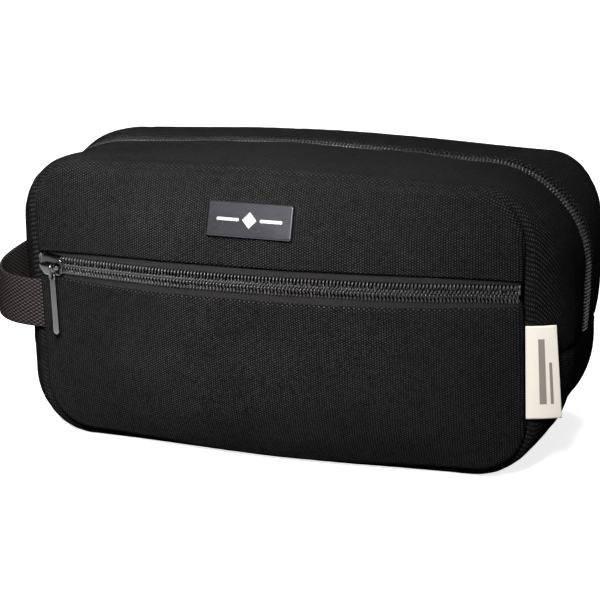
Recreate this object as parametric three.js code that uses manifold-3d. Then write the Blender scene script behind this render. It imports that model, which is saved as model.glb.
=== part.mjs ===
// Shaving kit bag: a soft zipped canvas box with a front zip pocket, a grab loop on its left end,
// a metal plate on the front and a woven label in the right front seam.
// Millimetres, +Z up, +X to the right, front towards -Y, origin under the middle of the bag.

import * as THREE from 'three';
import { mergeVertices } from 'three/addons/utils/BufferGeometryUtils.js';
import Module from 'manifold-3d';

// ---- Driving dimensions: the bag ----
const SEAM_HALF_WIDTH = 125;      // half width of the front and back panels at their seams
const HALF_DEPTH = 48.4;          // from mid-depth to the gusset's cut edges
const PANEL_PLANE = 50.3;         // from mid-depth to the outer edge of the front and back panels
const SEAM_TOP = 142.6;           // height of the front panel's top seam
const SEAM_LIFT = 5;              // height of the bottom seam above the surface the bag stands on
const TOP_RADIUS = 24.6;          // corners of the front panel, top
const BACK_TOP_RADIUS = 16;       // corners of the back panel, top
const BOTTOM_RADIUS = 26.4;       // corners of the panels, bottom
const ZIP_RADIUS = 49;            // top corners at mid-depth, where the main zip runs
const MID_BOTTOM_LEFT = 28;       // bottom left corner at mid-depth
const MID_BOTTOM_RIGHT = 58;      // bottom right corner at mid-depth, where the bag is less full
const END_BULGE = 16;             // how far the ends bulge past the seams at mid-depth
const WAIST = 1.5;                // how far the end seams pull in at half height
const TOP_BOW = 1.8;              // rise of the top seams between their corners
const MID_TOP_BOW = 3.5;          // the same at mid-depth
const BOTTOM_BOW = 4.2;           // droop of the bottom seams between their corners
const TOP_CROWN = 3.75;           // rise of the top between its front and back seams
const BACK_DROP = 6.5;            // how much lower the back top seam is than the front one
const CROWN_POWER = 2.4;          // shape of the top between its seams
const END_POWER = 4;              // the ends are fuller: they turn sharply at their seams
const FLAT_HALF_DEPTH = 38;       // the bottom is flat on the ground within this depth
const CLOTH = 1.6;                // canvas with its lining
const GAP = 0.3;                  // clearance between touching pieces
const END_SEAM_Z = 62;            // height of the seams where the zip gusset meets the bottom gusset

// ---- Driving dimensions: front panel, zips and pocket ----
const FRONT_BULGE = 16.5;         // rise of the front pocket zip above the seam plane
const BACK_BULGE = 13;
const ZIP_Z = 93.5;               // height of the pocket zip at its ends
const ZIP_TILT = THREE.MathUtils.degToRad(5);
const ZIP_HALF_WIDTH = SEAM_HALF_WIDTH - WAIST;
const ZIP_SKEW = 1.8;             // how much higher its right end is sewn than its middle
const ZIP_SLOT = 8.8;             // half height of the window in the canvas over the pocket zip
const MAIN_SLOT = 6.5;            // half width of the window over the main zip
const TAPE_HALF_WIDTH = 13;
const TAPE_OUTER = CLOTH + GAP;   // depth of the tape's face under the canvas face
const TAPE = 0.6;
const COIL_INNER = 0.6;           // coil rows run from here ...
const COIL_OUTER = 4.2;           // ... to here, measured from the zip's centre line
const COIL_TOP = 0.8;             // height of the coil's crest above the canvas face
const POCKET_DEPTH = 5.5;
const BACKING = 0.8;
const BACKING_INSET = 2.4;
const BACKING_SET_BACK = 5;
const BINDING = 1.2;
const BINDING_FROM = 35;          // seam bindings lie inside the gusset between these depths
const BINDING_TO = 43;

// ---- Driving dimensions: sliders, pulls and trim ----
const SLIDER_LENGTH = 13;
const SLIDER_WIDTH = 10.6;
const SLIDER_PLATE = 1.3;
const SLIDER_LIFT = 1.5;          // underside of the top plate above the canvas face
const SLIDER_UNDER = -3.6;        // upper face of the lower plate, under the tapes
const BAR_HEIGHT = 2.7;           // centre of the bridge bar above the top plate
const BAR_WIDTH = 2;
const BAR_THICKNESS = 1.2;
const WIRE = 1;                   // thickness of the link
const LINK_RADIUS = 1.9;          // centre line radius of the link's round ends
const LINK_REACH = 4.4;           // from one wire centre to the other, less one radius
const PULL_LENGTH = 29.7;         // from the eye's centre to the tip
const MAIN_PULL_LENGTH = 22;      // shorter, so it clears the grab loop as the slider goes round the corner
const PULL_WIDTH = 3.4;
const PULL_THICKNESS = 1.6;
const EYE_RADIUS = 2.1;
const EYE_CLEARANCE = 0.6;
const PULL_SHIFT = 3;             // how far from the bridge's middle the pocket pull hangs
const FRONT_SLIDER_X = -113;
const WEBBING = 25;
const WEBBING_THICKNESS = 1.8;
const WEBBING_Z = 70;
const LOOP_REACH = 37;
const LOOP_SQUARE = 0.8;          // 1 is an ellipse in plan, less is squarer
const LOOP_LEAN = 0.1;            // its lower edge stands out further
const PLATE_X = -4;
const PLATE_Z = 124.8;
const PLATE_WIDTH = 43;
const PLATE_HEIGHT = 16.4;
const PLATE_THICKNESS = 2.5;
const PRONG_X = 14;
const LABEL_BOTTOM = 34;
const LABEL_TOP = 80;
const LABEL_REACH = 16.5;
const LABEL_THICKNESS = 1.2;
const LABEL_ANGLE = THREE.MathUtils.degToRad(22);
const LEAN_LEFT = 13;             // how far the back leans in at its upper left
const LEAN_RIGHT = 2.5;           // and out at its upper right
const BACK_CROWN = 0.8;
const BACK_SLOPE = 2.2;
const END_DRAWN = 3;              // how far the right end draws in near the ground
const SHOULDER_SAG = 2.2;

const wasm = await Module();
wasm.setup();

// ---- Small helpers ----
const mix = (a, b, s) => a + (b - a) * s;
const vec = (x, y, z) => new THREE.Vector3(x, y, z);
const clamp = THREE.MathUtils.clamp;

function steps(from, to, count) {
  return Array.from({ length: count + 1 }, (_, i) => mix(from, to, i / count));
}

function geometryFrom(points, faces) {
  const geometry = new THREE.BufferGeometry();
  let volume = 0;
  for (const [a, b, c] of faces) {
    volume += points[a].dot(points[b].clone().cross(points[c]));
  }
  const outward = volume > 0 ? faces : faces.map(([a, b, c]) => [a, c, b]);
  geometry.setAttribute('position', new THREE.Float32BufferAttribute(points.flatMap((p) => p.toArray()), 3));
  geometry.setIndex(outward.flat());
  return geometry;
}

// A closed slab between two matching grids of points, grid[i][j].
function slab(front, back) {
  const rows = front.length;
  const columns = front[0].length;
  const points = [...front.flat(), ...back.flat()];
  const faces = [];
  const at = (side, i, j) => side * rows * columns + i * columns + j;
  const quad = (a, b, c, d) => faces.push([a, b, c], [a, c, d]);
  for (let i = 0; i + 1 < rows; i += 1) {
    for (let j = 0; j + 1 < columns; j += 1) {
      quad(at(0, i, j), at(0, i + 1, j), at(0, i + 1, j + 1), at(0, i, j + 1));
      quad(at(1, i, j), at(1, i, j + 1), at(1, i + 1, j + 1), at(1, i + 1, j));
    }
    quad(at(0, i + 1, 0), at(0, i, 0), at(1, i, 0), at(1, i + 1, 0));
    quad(at(0, i, columns - 1), at(0, i + 1, columns - 1), at(1, i + 1, columns - 1), at(1, i, columns - 1));
  }
  for (let j = 0; j + 1 < columns; j += 1) {
    quad(at(0, 0, j), at(0, 0, j + 1), at(1, 0, j + 1), at(1, 0, j));
    quad(at(0, rows - 1, j + 1), at(0, rows - 1, j), at(1, rows - 1, j), at(1, rows - 1, j + 1));
  }
  return geometryFrom(points, faces);
}

// A closed band swept round a loop of four-cornered sections.
function ring(sections) {
  const count = sections.length;
  const faces = [];
  for (let i = 0; i < count; i += 1) {
    const next = (i + 1) % count;
    for (let k = 0; k < 4; k += 1) {
      const turn = (k + 1) % 4;
      faces.push([i * 4 + k, next * 4 + k, next * 4 + turn], [i * 4 + k, next * 4 + turn, i * 4 + turn]);
    }
  }
  return geometryFrom(sections.flat(), faces);
}

// A point moved off a surface along its outward normal, by central differences.
function offset(surface, a, b, height) {
  const h = 0.002;
  const du = surface(a + h, b).sub(surface(a - h, b));
  const dv = surface(a, b + h).sub(surface(a, b - h));
  const normal = du.cross(dv).normalize();
  return surface(a, b).addScaledVector(normal, height);
}

function shell(surface, as, bs, outer, inner) {
  const grid = (height) => as.map((a) => bs(a).map((b) => offset(surface, a, b, height)));
  return slab(grid(outer), grid(inner));
}

function toSolid(geometry) {
  const bare = geometry.clone();
  bare.deleteAttribute('normal');
  bare.deleteAttribute('uv');
  const merged = mergeVertices(bare, 1e-4);
  return new wasm.Manifold(new wasm.Mesh({
    numProp: 3,
    vertProperties: new Float32Array(merged.attributes.position.array),
    triVerts: new Uint32Array(merged.index.array),
  }));
}

function fromSolid(solid) {
  const mesh = solid.getMesh();
  const geometry = new THREE.BufferGeometry();
  geometry.setAttribute('position', new THREE.Float32BufferAttribute(mesh.vertProperties, 3));
  geometry.setIndex(Array.from(mesh.triVerts));
  return geometry;
}

function box(width, depth, height, x, y, z) {
  return new THREE.BoxGeometry(width, depth, height).translate(x, y, z);
}

const join = (...geometries) => fromSolid(geometries.map(toSolid).reduce((all, next) => all.add(next)));
const cut = (body, ...tools) => fromSolid(
  tools.map(toSolid).reduce((rest, tool) => rest.subtract(tool), toSolid(body)),
);

// ---- Materials ----
function material(color, roughness, metalness) {
  return new THREE.MeshStandardMaterial({ color, roughness, metalness });
}

const canvas = material(0x1c1c1e, 0.95, 0);
const lining = material(0x2a2a2c, 0.9, 0);
const tapeCloth = material(0x222122, 0.9, 0);
const coilNylon = material(0x3a3735, 0.45, 0);
const gunmetal = material(0x55525a, 0.3, 0.9);
const plateMetal = material(0x47454a, 0.35, 0.8);
const webbing = material(0x413a38, 0.85, 0);
const labelCloth = material(0xf4f1ea, 0.9, 0);

const bag = new THREE.Group();
bag.name = 'shaving_kit_bag';

// The filled bag's slump: the back leans, the right end draws in and the left shoulder sags.
function slump(geometry) {
  const ramp = (value) => THREE.MathUtils.smoothstep(value, 0, 1);
  const bump = (value, centre, width) => Math.exp(-(((value - centre) / width) ** 2));
  const points = geometry.attributes.position;
  for (let i = 0; i < points.count; i += 1) {
    const [x, y, z] = [points.getX(i), points.getY(i), points.getZ(i)];
    const across = x / SEAM_HALF_WIDTH;
    const back = ramp((y - 20) / 26) * ramp((z - 88) / 45);
    const lean = (across < 0 ? LEAN_LEFT : LEAN_RIGHT) * clamp(Math.abs(across), 0, 1) ** 2;
    const end = bump(z, 46, 26) * ramp((x - 85) / 50) * ramp((y + 40) / 45);
    const shoulder = bump(x, -112, 20) * ramp((z - 100) / 30) * bump(y, -18, 16);
    const rise = back * (BACK_CROWN - BACK_SLOPE * across ** 2) - SHOULDER_SAG * shoulder;
    points.setXYZ(i, x + back * lean - END_DRAWN * end, y, z + rise);
  }
  return geometry;
}

function add(name, geometry, finish, parent = bag) {
  const mesh = new THREE.Mesh(parent === bag ? slump(geometry) : geometry, finish);
  mesh.name = name;
  parent.add(mesh);
  return mesh;
}

// ---- The gusset: the surface that runs right round the bag between the panels ----

// Share of the full bulge at depth y: 0 at the seams, 1 at mid-depth.
const share = (y, power) => 1 - Math.min(1, Math.abs(y) / HALF_DEPTH) ** power;

function outlineAt(y) {
  const end = share(y, END_POWER);
  const edge = clamp((Math.abs(y) - FLAT_HALF_DEPTH) / (HALF_DEPTH - FLAT_HALF_DEPTH), 0, 1);
  return {
    halfWidth: SEAM_HALF_WIDTH + END_BULGE * end,
    topRadius: y < 0
      ? mix(TOP_RADIUS, ZIP_RADIUS, share(y, 2))
      : mix(BACK_TOP_RADIUS, ZIP_RADIUS, share(y, 1.6)),
    leftRadius: mix(BOTTOM_RADIUS, MID_BOTTOM_LEFT, end),
    rightRadius: mix(BOTTOM_RADIUS, MID_BOTTOM_RIGHT, end),
    top: SEAM_TOP - (BACK_DROP * (y + HALF_DEPTH)) / (2 * HALF_DEPTH) + TOP_CROWN * share(y, CROWN_POWER),
    bottom: SEAM_LIFT * edge ** 2,
    waist: WAIST * (1 - end),
    topBow: mix(TOP_BOW, MID_TOP_BOW, end),
    bottomBow: BOTTOM_BOW * edge ** 2,
  };
}

// Pulls the ends in at half height and bows the top and bottom between their corners.
function ease(x, z, o) {
  const bowSpan = (radius) => (1 - Math.min(1, Math.abs(x) / (o.halfWidth - radius)) ** 2) ** 2;
  const middle = SEAM_TOP / 2;
  const v = clamp((z - middle) / middle, -1, 1);
  const raised = z + o.topBow * Math.max(v, 0) * bowSpan(o.topRadius)
    - o.bottomBow * Math.max(-v, 0) * bowSpan(o.leftRadius);
  return [x * (1 - (o.waist * (1 - v * v)) / o.halfWidth), raised];
}

// The gusset's outer face. k counts the stretches of the outline, from the right end seam up and over:
// 0 up, 1 top right corner, 2 top, 3 top left corner, 4 down to the left end seam, 5 down, 6 bottom
// left corner, 7 bottom, 8 bottom right corner, 9 up to the right end seam.
function gusset(y, k) {
  const o = outlineAt(y);
  const stretch = Math.floor(clamp(k, 0, 9.9999));
  const s = k - stretch;
  const topX = o.halfWidth - o.topRadius;
  const topZ = o.top - o.topRadius;
  const leftX = o.halfWidth - o.leftRadius;
  const leftZ = o.bottom + o.leftRadius;
  const rightX = o.halfWidth - o.rightRadius;
  const rightZ = o.bottom + o.rightRadius;
  const arc = (cx, cz, r, from) => [
    cx + r * Math.cos(from + (s * Math.PI) / 2),
    cz + r * Math.sin(from + (s * Math.PI) / 2),
  ];
  const [x, z] = [
    () => [o.halfWidth, mix(END_SEAM_Z, topZ, s)],
    () => arc(topX, topZ, o.topRadius, 0),
    () => [mix(topX, -topX, s), o.top],
    () => arc(-topX, topZ, o.topRadius, Math.PI / 2),
    () => [-o.halfWidth, mix(topZ, END_SEAM_Z, s)],
    () => [-o.halfWidth, mix(END_SEAM_Z, leftZ, s)],
    () => arc(-leftX, leftZ, o.leftRadius, Math.PI),
    () => [mix(-leftX, rightX, s), o.bottom],
    () => arc(rightX, rightZ, o.rightRadius, -Math.PI / 2),
    () => [o.halfWidth, mix(rightZ, END_SEAM_Z, s)],
  ][stretch]();
  const [xe, ze] = ease(x, z, o);
  return vec(xe, y, ze);
}

// Where to divide each stretch of the outline.
const TOP_DIVISIONS = [2, 8, 8, 8, 2];
const BOTTOM_DIVISIONS = [3, 5, 8, 6, 2];

function stations(first, divisions, trimStart, trimEnd) {
  const list = [];
  divisions.forEach((count, i) => {
    for (let n = 0; n < count; n += 1) {
      list.push(first + i + n / count);
    }
  });
  list.push(first + divisions.length);
  list[0] += trimStart;
  list[list.length - 1] -= trimEnd;
  return list;
}

const HALF_GAP_K = 0.006;         // half of the gap at an end seam, as a share of a stretch
const topPath = stations(0, TOP_DIVISIONS, HALF_GAP_K, HALF_GAP_K);
const bottomPath = stations(5, BOTTOM_DIVISIONS, HALF_GAP_K, HALF_GAP_K);

function buildGussets() {
  const strip = (path, depths) => shell(gusset, depths, () => path, 0, -CLOTH);
  const mirrored = (depths) => depths.map((y) => -y).reverse();
  const outer = [0.45, 0.7, 0.83, 0.92, 1].map((s) => s * HALF_DEPTH);
  const fromZip = [MAIN_SLOT, ...outer];
  add('zip_gusset_front', strip(topPath, mirrored(fromZip)), canvas);
  add('zip_gusset_back', strip(topPath, fromZip), canvas);
  add('bottom_gusset', strip(bottomPath, [...mirrored(outer), 0, ...outer]), canvas);
}

function buildMainZip() {
  for (const [side, sign] of [['front', -1], ['back', 1]]) {
    const across = (from, to) => [sign * from, sign * to].sort((a, b) => a - b);
    const path = () => topPath;
    const tape = shell(gusset, across(COIL_INNER, TAPE_HALF_WIDTH), path, -TAPE_OUTER, -TAPE_OUTER - TAPE);
    const coil = shell(gusset, across(COIL_INNER, COIL_OUTER), path, COIL_TOP, GAP - TAPE_OUTER);
    add(`main_zip_tape_${side}`, tape, tapeCloth);
    add(`main_zip_coil_${side}`, coil, coilNylon);
  }
}

function buildBindings() {
  const half = (first, divisions) => stations(first, divisions, 0, 0).slice(0, -1);
  const path = [...half(0, TOP_DIVISIONS), ...half(5, BOTTOM_DIVISIONS)];
  const depth = CLOTH + 2 * GAP;
  for (const [side, sign] of [['front', -1], ['back', 1]]) {
    const section = (k) => [
      offset(gusset, sign * BINDING_FROM, k, -depth),
      offset(gusset, sign * BINDING_TO, k, -depth),
      offset(gusset, sign * BINDING_TO, k, -depth - BINDING),
      offset(gusset, sign * BINDING_FROM, k, -depth - BINDING),
    ];
    add(`seam_binding_${side}`, ring(path.map(section)), lining);
  }
}

// ---- Panels: u runs from -1 at the left seam to 1 at the right seam ----
const seamFront = outlineAt(-HALF_DEPTH);
const seamBack = outlineAt(HALF_DEPTH);
const PANEL_COLUMNS = [0, 0.14, 0.28, 0.42, 0.55, 0.67, 0.78, 0.86, 0.92, 0.96, 0.985, 1];
const columns = [...PANEL_COLUMNS.slice(1).reverse().map((u) => -u), ...PANEL_COLUMNS];

function halfWidthAt(z) {
  const v = clamp(z / (SEAM_TOP / 2) - 1, -1, 1);
  return SEAM_HALF_WIDTH - WAIST * (1 - v * v);
}

// Height of the seam outline over u, top (side = 1) or bottom (side = -1).
function seamHeight(u, outline, side) {
  const radius = side > 0 ? outline.topRadius : outline.leftRadius;
  const x = Math.abs(u) * outline.halfWidth;
  const past = Math.max(0, x - (outline.halfWidth - radius));
  const drop = radius - Math.sqrt(Math.max(0, radius ** 2 - past ** 2));
  const z = side > 0 ? outline.top - drop : outline.bottom + drop;
  return ease(x, z, outline)[1];
}

// The pocket zip lies on a circle of this radius, in a plane tilted by ZIP_TILT about X.
const ZIP_ARC_RADIUS = (ZIP_HALF_WIDTH ** 2 + FRONT_BULGE ** 2) / (2 * FRONT_BULGE);
const arcRise = (x) => Math.sqrt(ZIP_ARC_RADIUS ** 2 - x ** 2) - (ZIP_ARC_RADIUS - FRONT_BULGE);
const zipRise = (u) => arcRise(u * ZIP_HALF_WIDTH);
const zipHeight = (u) => ZIP_Z + ZIP_SKEW * u + zipRise(u) * Math.sin(ZIP_TILT);

// How far the front panel stands out at u, z, as a share of its rise along the zip.
function frontFalloff(u, z) {
  const middle = zipHeight(u);
  const upper = z > middle;
  const far = seamHeight(u, seamFront, upper ? 1 : -1);
  const d = clamp(Math.abs(z - middle) / Math.max(1, Math.abs(far - middle)), 0, 1);
  return 1 - d ** (upper ? 2.6 : 5);
}

function frontPanel(u, z) {
  const side = clamp(u, -1, 1);
  const bulge = zipRise(side) * Math.cos(ZIP_TILT) * frontFalloff(side, z);
  return vec(u * halfWidthAt(z), -PANEL_PLANE - bulge, z);
}

const slotHalf = (u) => ZIP_SLOT * (1 - 0.28 * u ** 4);

// Heights spaced closer towards the seam end of a column.
function column(from, to, count, power) {
  return steps(0, 1, count).map((s) => mix(from, to, 1 - (1 - s) ** power));
}

function buildFrontPanels() {
  const lower = (u) => column(zipHeight(u) - slotHalf(u), seamHeight(u, seamFront, -1), 8, 1.6).reverse();
  const upper = (u) => column(zipHeight(u) + slotHalf(u), seamHeight(u, seamFront, 1), 6, 1.4);
  add('front_panel_lower', shell(frontPanel, columns, lower, 0, -CLOTH), canvas);
  const panel = shell(frontPanel, columns, upper, 0, -CLOTH);
  const slots = [-1, 1].map((side) => plateFrame(box(4, 1.8, 14, side * PRONG_X, 0, -4)));
  add('front_panel_upper', cut(panel, ...slots), canvas);
}

// Distance of the pocket's inner wall behind the front panel.
function pocketSetBack(u, z, low, high) {
  const s = clamp((z - low) / (high - low), 0, 1);
  return BACKING_SET_BACK + POCKET_DEPTH * (1 - u ** 6) * Math.sin(Math.PI * s) ** 0.6;
}

function buildPocketBacking() {
  const reach = 1 - BACKING_INSET / SEAM_HALF_WIDTH;
  const us = columns.filter((u, i) => i % 2 === 1 || Math.abs(u) > 0.9).map((u) => u * reach);
  const grid = (extra) => us.map((u) => {
    const low = seamHeight(u / reach, seamFront, -1) + BACKING_INSET;
    const high = zipHeight(u) + TAPE_HALF_WIDTH;
    return column(high, low, 8, 1.5).map((z) => {
      const p = frontPanel(u, z);
      return vec(p.x, p.y + pocketSetBack(u, z, low, high) + extra, z);
    });
  });
  add('pocket_backing', slab(grid(0), grid(BACKING)), lining);
}

function backPanel(u, z) {
  const side = clamp(u, -1, 1);
  const low = seamHeight(side, seamBack, -1);
  const high = seamHeight(side, seamBack, 1);
  const v = clamp((2 * (z - low)) / Math.max(1, high - low) - 1, -1, 1);
  return vec(-u * halfWidthAt(z), PANEL_PLANE + BACK_BULGE * (1 - side ** 2) * (1 - Math.abs(v) ** 3.5), z);
}

function buildBackPanel() {
  const heights = (u) => {
    const low = seamHeight(u, seamBack, -1);
    const high = seamHeight(u, seamBack, 1);
    return [0, 0.05, 0.12, 0.24, 0.38, 0.5, 0.62, 0.76, 0.88, 0.95, 1].map((s) => mix(low, high, s));
  };
  add('back_panel', shell(backPanel, columns, heights, 0, -CLOTH), canvas);
}

function buildPocketZip() {
  const surface = (u, w) => offset(frontPanel, u, zipHeight(u) + w, 0);
  const us = columns.filter((u) => Math.abs(u) < 0.97);
  const strip = (side, from, to, top, bottom) => {
    const edges = [side * from, side * to].sort((a, b) => a - b);
    const grid = (height) => us.map((u) => edges.map((w) => offset(surface, u, w, height)));
    return slab(grid(top), grid(bottom));
  };
  for (const [name, side] of [['upper', 1], ['lower', -1]]) {
    const tape = strip(side, COIL_INNER, TAPE_HALF_WIDTH, -TAPE_OUTER, -TAPE_OUTER - TAPE);
    const coil = strip(side, COIL_INNER, COIL_OUTER, COIL_TOP, GAP - TAPE_OUTER);
    add(`pocket_zip_tape_${name}`, tape, tapeCloth);
    add(`pocket_zip_coil_${name}`, coil, coilNylon);
  }
}

// ---- Sliders and pulls: x along the zip, y across it, z out of the bag, 0 at the canvas face ----
const plateTop = SLIDER_LIFT + SLIDER_PLATE;
const barCentre = plateTop + BAR_HEIGHT;

function roundedRectangle(width, height, radius) {
  const shape = new THREE.Shape();
  const x = width / 2;
  const y = height / 2;
  shape.moveTo(-x + radius, -y);
  shape.lineTo(x - radius, -y);
  shape.absarc(x - radius, -y + radius, radius, -Math.PI / 2, 0, false);
  shape.lineTo(x, y - radius);
  shape.absarc(x - radius, y - radius, radius, 0, Math.PI / 2, false);
  shape.lineTo(-x + radius, y);
  shape.absarc(-x + radius, y - radius, radius, Math.PI / 2, Math.PI, false);
  shape.lineTo(-x, -y + radius);
  shape.absarc(-x + radius, -y + radius, radius, Math.PI, 1.5 * Math.PI, false);
  return shape;
}

function plate(width, height, radius, thickness, z) {
  const settings = { depth: thickness, bevelEnabled: false, curveSegments: 4 };
  return new THREE.ExtrudeGeometry(roundedRectangle(width, height, radius), settings).translate(0, 0, z);
}

function bridge() {
  const half = BAR_THICKNESS / 2;
  const reach = SLIDER_LENGTH / 2 - 1;
  const outer = new THREE.Shape();
  outer.moveTo(-reach, plateTop - 0.2);
  outer.lineTo(-reach, barCentre - 1);
  outer.lineTo(-reach + 1.6, barCentre + half);
  outer.lineTo(reach - 1.6, barCentre + half);
  outer.lineTo(reach, barCentre - 1);
  outer.lineTo(reach, plateTop - 0.2);
  outer.lineTo(reach - 1.3, plateTop - 0.2);
  outer.lineTo(reach - 1.3, barCentre - 1.4);
  outer.lineTo(reach - 2.2, barCentre - half);
  outer.lineTo(-reach + 2.2, barCentre - half);
  outer.lineTo(-reach + 1.3, barCentre - 1.4);
  outer.lineTo(-reach + 1.3, plateTop - 0.2);
  const arch = new THREE.ExtrudeGeometry(outer, { depth: BAR_WIDTH, bevelEnabled: false });
  return arch.rotateX(Math.PI / 2).translate(0, BAR_WIDTH / 2, 0);
}

function sliderGeometry() {
  const lowerThickness = 1.1;
  const flangeDepth = SLIDER_LIFT + TAPE_OUTER - 0.6;
  const webBottom = SLIDER_UNDER - lowerThickness / 2;
  const flange = (side) => box(SLIDER_LENGTH - 3, 0.7, flangeDepth + 0.2, 0,
    side * (SLIDER_WIDTH / 2 - 0.35), SLIDER_LIFT - flangeDepth / 2 + 0.1);
  return join(
    plate(SLIDER_LENGTH, SLIDER_WIDTH, 2.6, SLIDER_PLATE, SLIDER_LIFT),
    plate(SLIDER_LENGTH - 3, SLIDER_WIDTH - 1, 2, lowerThickness, SLIDER_UNDER - lowerThickness),
    box(4, 0.6, plateTop - 0.3 - webBottom, 0, 0, (plateTop - 0.3 + webBottom) / 2),
    flange(-1),
    flange(1),
    bridge(),
  );
}

// A wire link with two round ends; its near end is centred on the origin and it hangs along -y.
function linkGeometry() {
  const stadium = (radius, Path) => {
    const path = new Path();
    path.absarc(0, 0, radius, 0, Math.PI, false);
    path.absarc(0, -LINK_REACH + LINK_RADIUS, radius, Math.PI, 2 * Math.PI, false);
    path.closePath();
    return path;
  };
  const shape = stadium(LINK_RADIUS + WIRE / 2, THREE.Shape);
  shape.holes.push(stadium(LINK_RADIUS - WIRE / 2, THREE.Path));
  const settings = { depth: WIRE, bevelEnabled: false, curveSegments: 7 };
  return new THREE.ExtrudeGeometry(shape, settings).translate(0, 0, -WIRE / 2);
}

// A flat bar pull with an eye at the origin, hanging along -y.
function pullGeometry(length) {
  const half = PULL_WIDTH / 2;
  const shape = new THREE.Shape();
  const neck = Math.asin(half / EYE_RADIUS);
  shape.absarc(0, 0, EYE_RADIUS, -Math.PI / 2 + neck, 1.5 * Math.PI - neck, false);
  shape.absarc(0, -length + half, half, Math.PI, 2 * Math.PI, false);
  const eye = new THREE.Path();
  eye.absarc(0, 0, WIRE / 2 + EYE_CLEARANCE, 0, 2 * Math.PI, true);
  shape.holes.push(eye);
  const settings = { depth: PULL_THICKNESS, bevelEnabled: false, curveSegments: 7 };
  return new THREE.ExtrudeGeometry(shape, settings).translate(0, 0, -PULL_THICKNESS / 2);
}

// A group whose x, y and z axes point along the given directions.
function frameGroup(origin, xAxis, yAxis, zAxis) {
  const group = new THREE.Group();
  group.matrix.makeBasis(xAxis, yAxis, zAxis).setPosition(origin);
  group.matrix.decompose(group.position, group.quaternion, group.scale);
  bag.add(group);
  return group;
}

function buildPocketSlider() {
  const u = FRONT_SLIDER_X / ZIP_HALF_WIDTH;
  const origin = frontPanel(u, zipHeight(u));
  const normal = offset(frontPanel, u, zipHeight(u), 1).sub(origin);
  normal.setZ(0).normalize();
  const up = vec(0, 0, 1);
  const along = up.clone().cross(normal).normalize();
  const frame = frameGroup(origin, along, up, normal);
  add('pocket_slider', sliderGeometry(), gunmetal, frame);
  const link = add('pocket_pull_link', linkGeometry(), gunmetal, frame);
  link.rotation.y = Math.PI / 2;
  link.position.set(PULL_SHIFT, 0, barCentre);
  const pull = add('pocket_pull_bar', pullGeometry(PULL_LENGTH), gunmetal, frame);
  pull.position.set(PULL_SHIFT, -LINK_REACH, barCentre);
}

// Parked on the left end, where the zip starts round the corner.
function buildMainSlider() {
  const middle = outlineAt(0);
  const origin = vec(-middle.halfWidth, 0, middle.top - middle.topRadius);
  const frame = frameGroup(origin, vec(0, 0, 1), vec(0, 1, 0), vec(-1, 0, 0));
  const linkHeight = plateTop + 0.55 + WIRE / 2;
  const linkNear = -4.2;
  add('main_slider', sliderGeometry(), gunmetal, frame);
  const link = add('main_pull_link', linkGeometry(), gunmetal, frame);
  link.rotation.z = -Math.PI / 2;
  link.position.set(linkNear, 0, linkHeight);
  const pull = add('main_pull_bar', pullGeometry(MAIN_PULL_LENGTH), gunmetal, frame);
  pull.setRotationFromMatrix(new THREE.Matrix4().makeBasis(vec(0, 0, 1), vec(1, 0, 0), vec(0, 1, 0)));
  pull.position.set(linkNear - LINK_REACH, 0, linkHeight);
}

// ---- Grab loop, label and plate ----

// A flat band bent along a path in plan, given as points and their outward directions.
function band(points, directions, thickness, low, high) {
  const side = (height) => points.map((p, i) => [low, high].map((z) => vec(
    p.x + directions[i].x * height,
    p.y + directions[i].y * height,
    typeof z === 'function' ? z(i) : z,
  )));
  return slab(side(thickness / 2), side(-thickness / 2));
}

function buildGrabLoop() {
  const root = -halfWidthAt(WEBBING_Z) - 0.6;
  const depth = PANEL_PLANE - 0.5;
  const pathAt = (a) => vec(
    root - LOOP_REACH * Math.max(0, Math.cos(a)) ** LOOP_SQUARE,
    depth * Math.sign(a) * Math.min(1, Math.abs(Math.sin(a))) ** LOOP_SQUARE,
    0,
  );
  const angles = steps(-Math.PI / 2, Math.PI / 2, 26);
  const points = angles.map(pathAt);
  const outward = angles.map((a) => {
    const tangent = pathAt(a + 0.02).sub(pathAt(a - 0.02));
    return vec(-tangent.y, tangent.x, 0).normalize();
  });
  const loop = band(points, outward, WEBBING_THICKNESS, WEBBING_Z - WEBBING / 2, WEBBING_Z + WEBBING / 2);
  const position = loop.attributes.position;
  for (let i = 0; i < position.count; i += 1) {
    const out = clamp((root - position.getX(i)) / LOOP_REACH, 0, 1);
    position.setX(i, position.getX(i) + LOOP_LEAN * (position.getZ(i) - WEBBING_Z) * out);
  }
  loop.computeVertexNormals();
  add('grab_loop', loop, webbing);
}

function buildLabel() {
  const root = vec(halfWidthAt(LABEL_BOTTOM) + 0.7, -HALF_DEPTH - 1.2, 0);
  const lengths = steps(0, LABEL_REACH, 4);
  const wave = (s) => 0.5 * Math.sin((s / LABEL_REACH) * Math.PI);
  const along = vec(Math.cos(LABEL_ANGLE), Math.sin(LABEL_ANGLE), 0);
  const across = vec(Math.sin(LABEL_ANGLE), -Math.cos(LABEL_ANGLE), 0);
  const points = lengths.map((s) => root.clone().addScaledVector(along, s).addScaledVector(across, wave(s)));
  const outward = lengths.map(() => across);
  add('side_label', band(points, outward, LABEL_THICKNESS, LABEL_BOTTOM, LABEL_TOP), labelCloth);
}

// Moves a shape drawn flat, with z out of its face, onto the front panel at the plate's place.
function plateFrame(geometry) {
  const u = PLATE_X / halfWidthAt(PLATE_Z);
  const origin = frontPanel(u, PLATE_Z);
  const normal = offset(frontPanel, u, PLATE_Z, 1).sub(origin).normalize();
  const across = vec(0, 0, 1).cross(normal).normalize();
  const up = normal.clone().cross(across);
  const place = new THREE.Matrix4().makeBasis(across, up, normal).setPosition(origin);
  return geometry.applyMatrix4(place);
}

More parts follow.
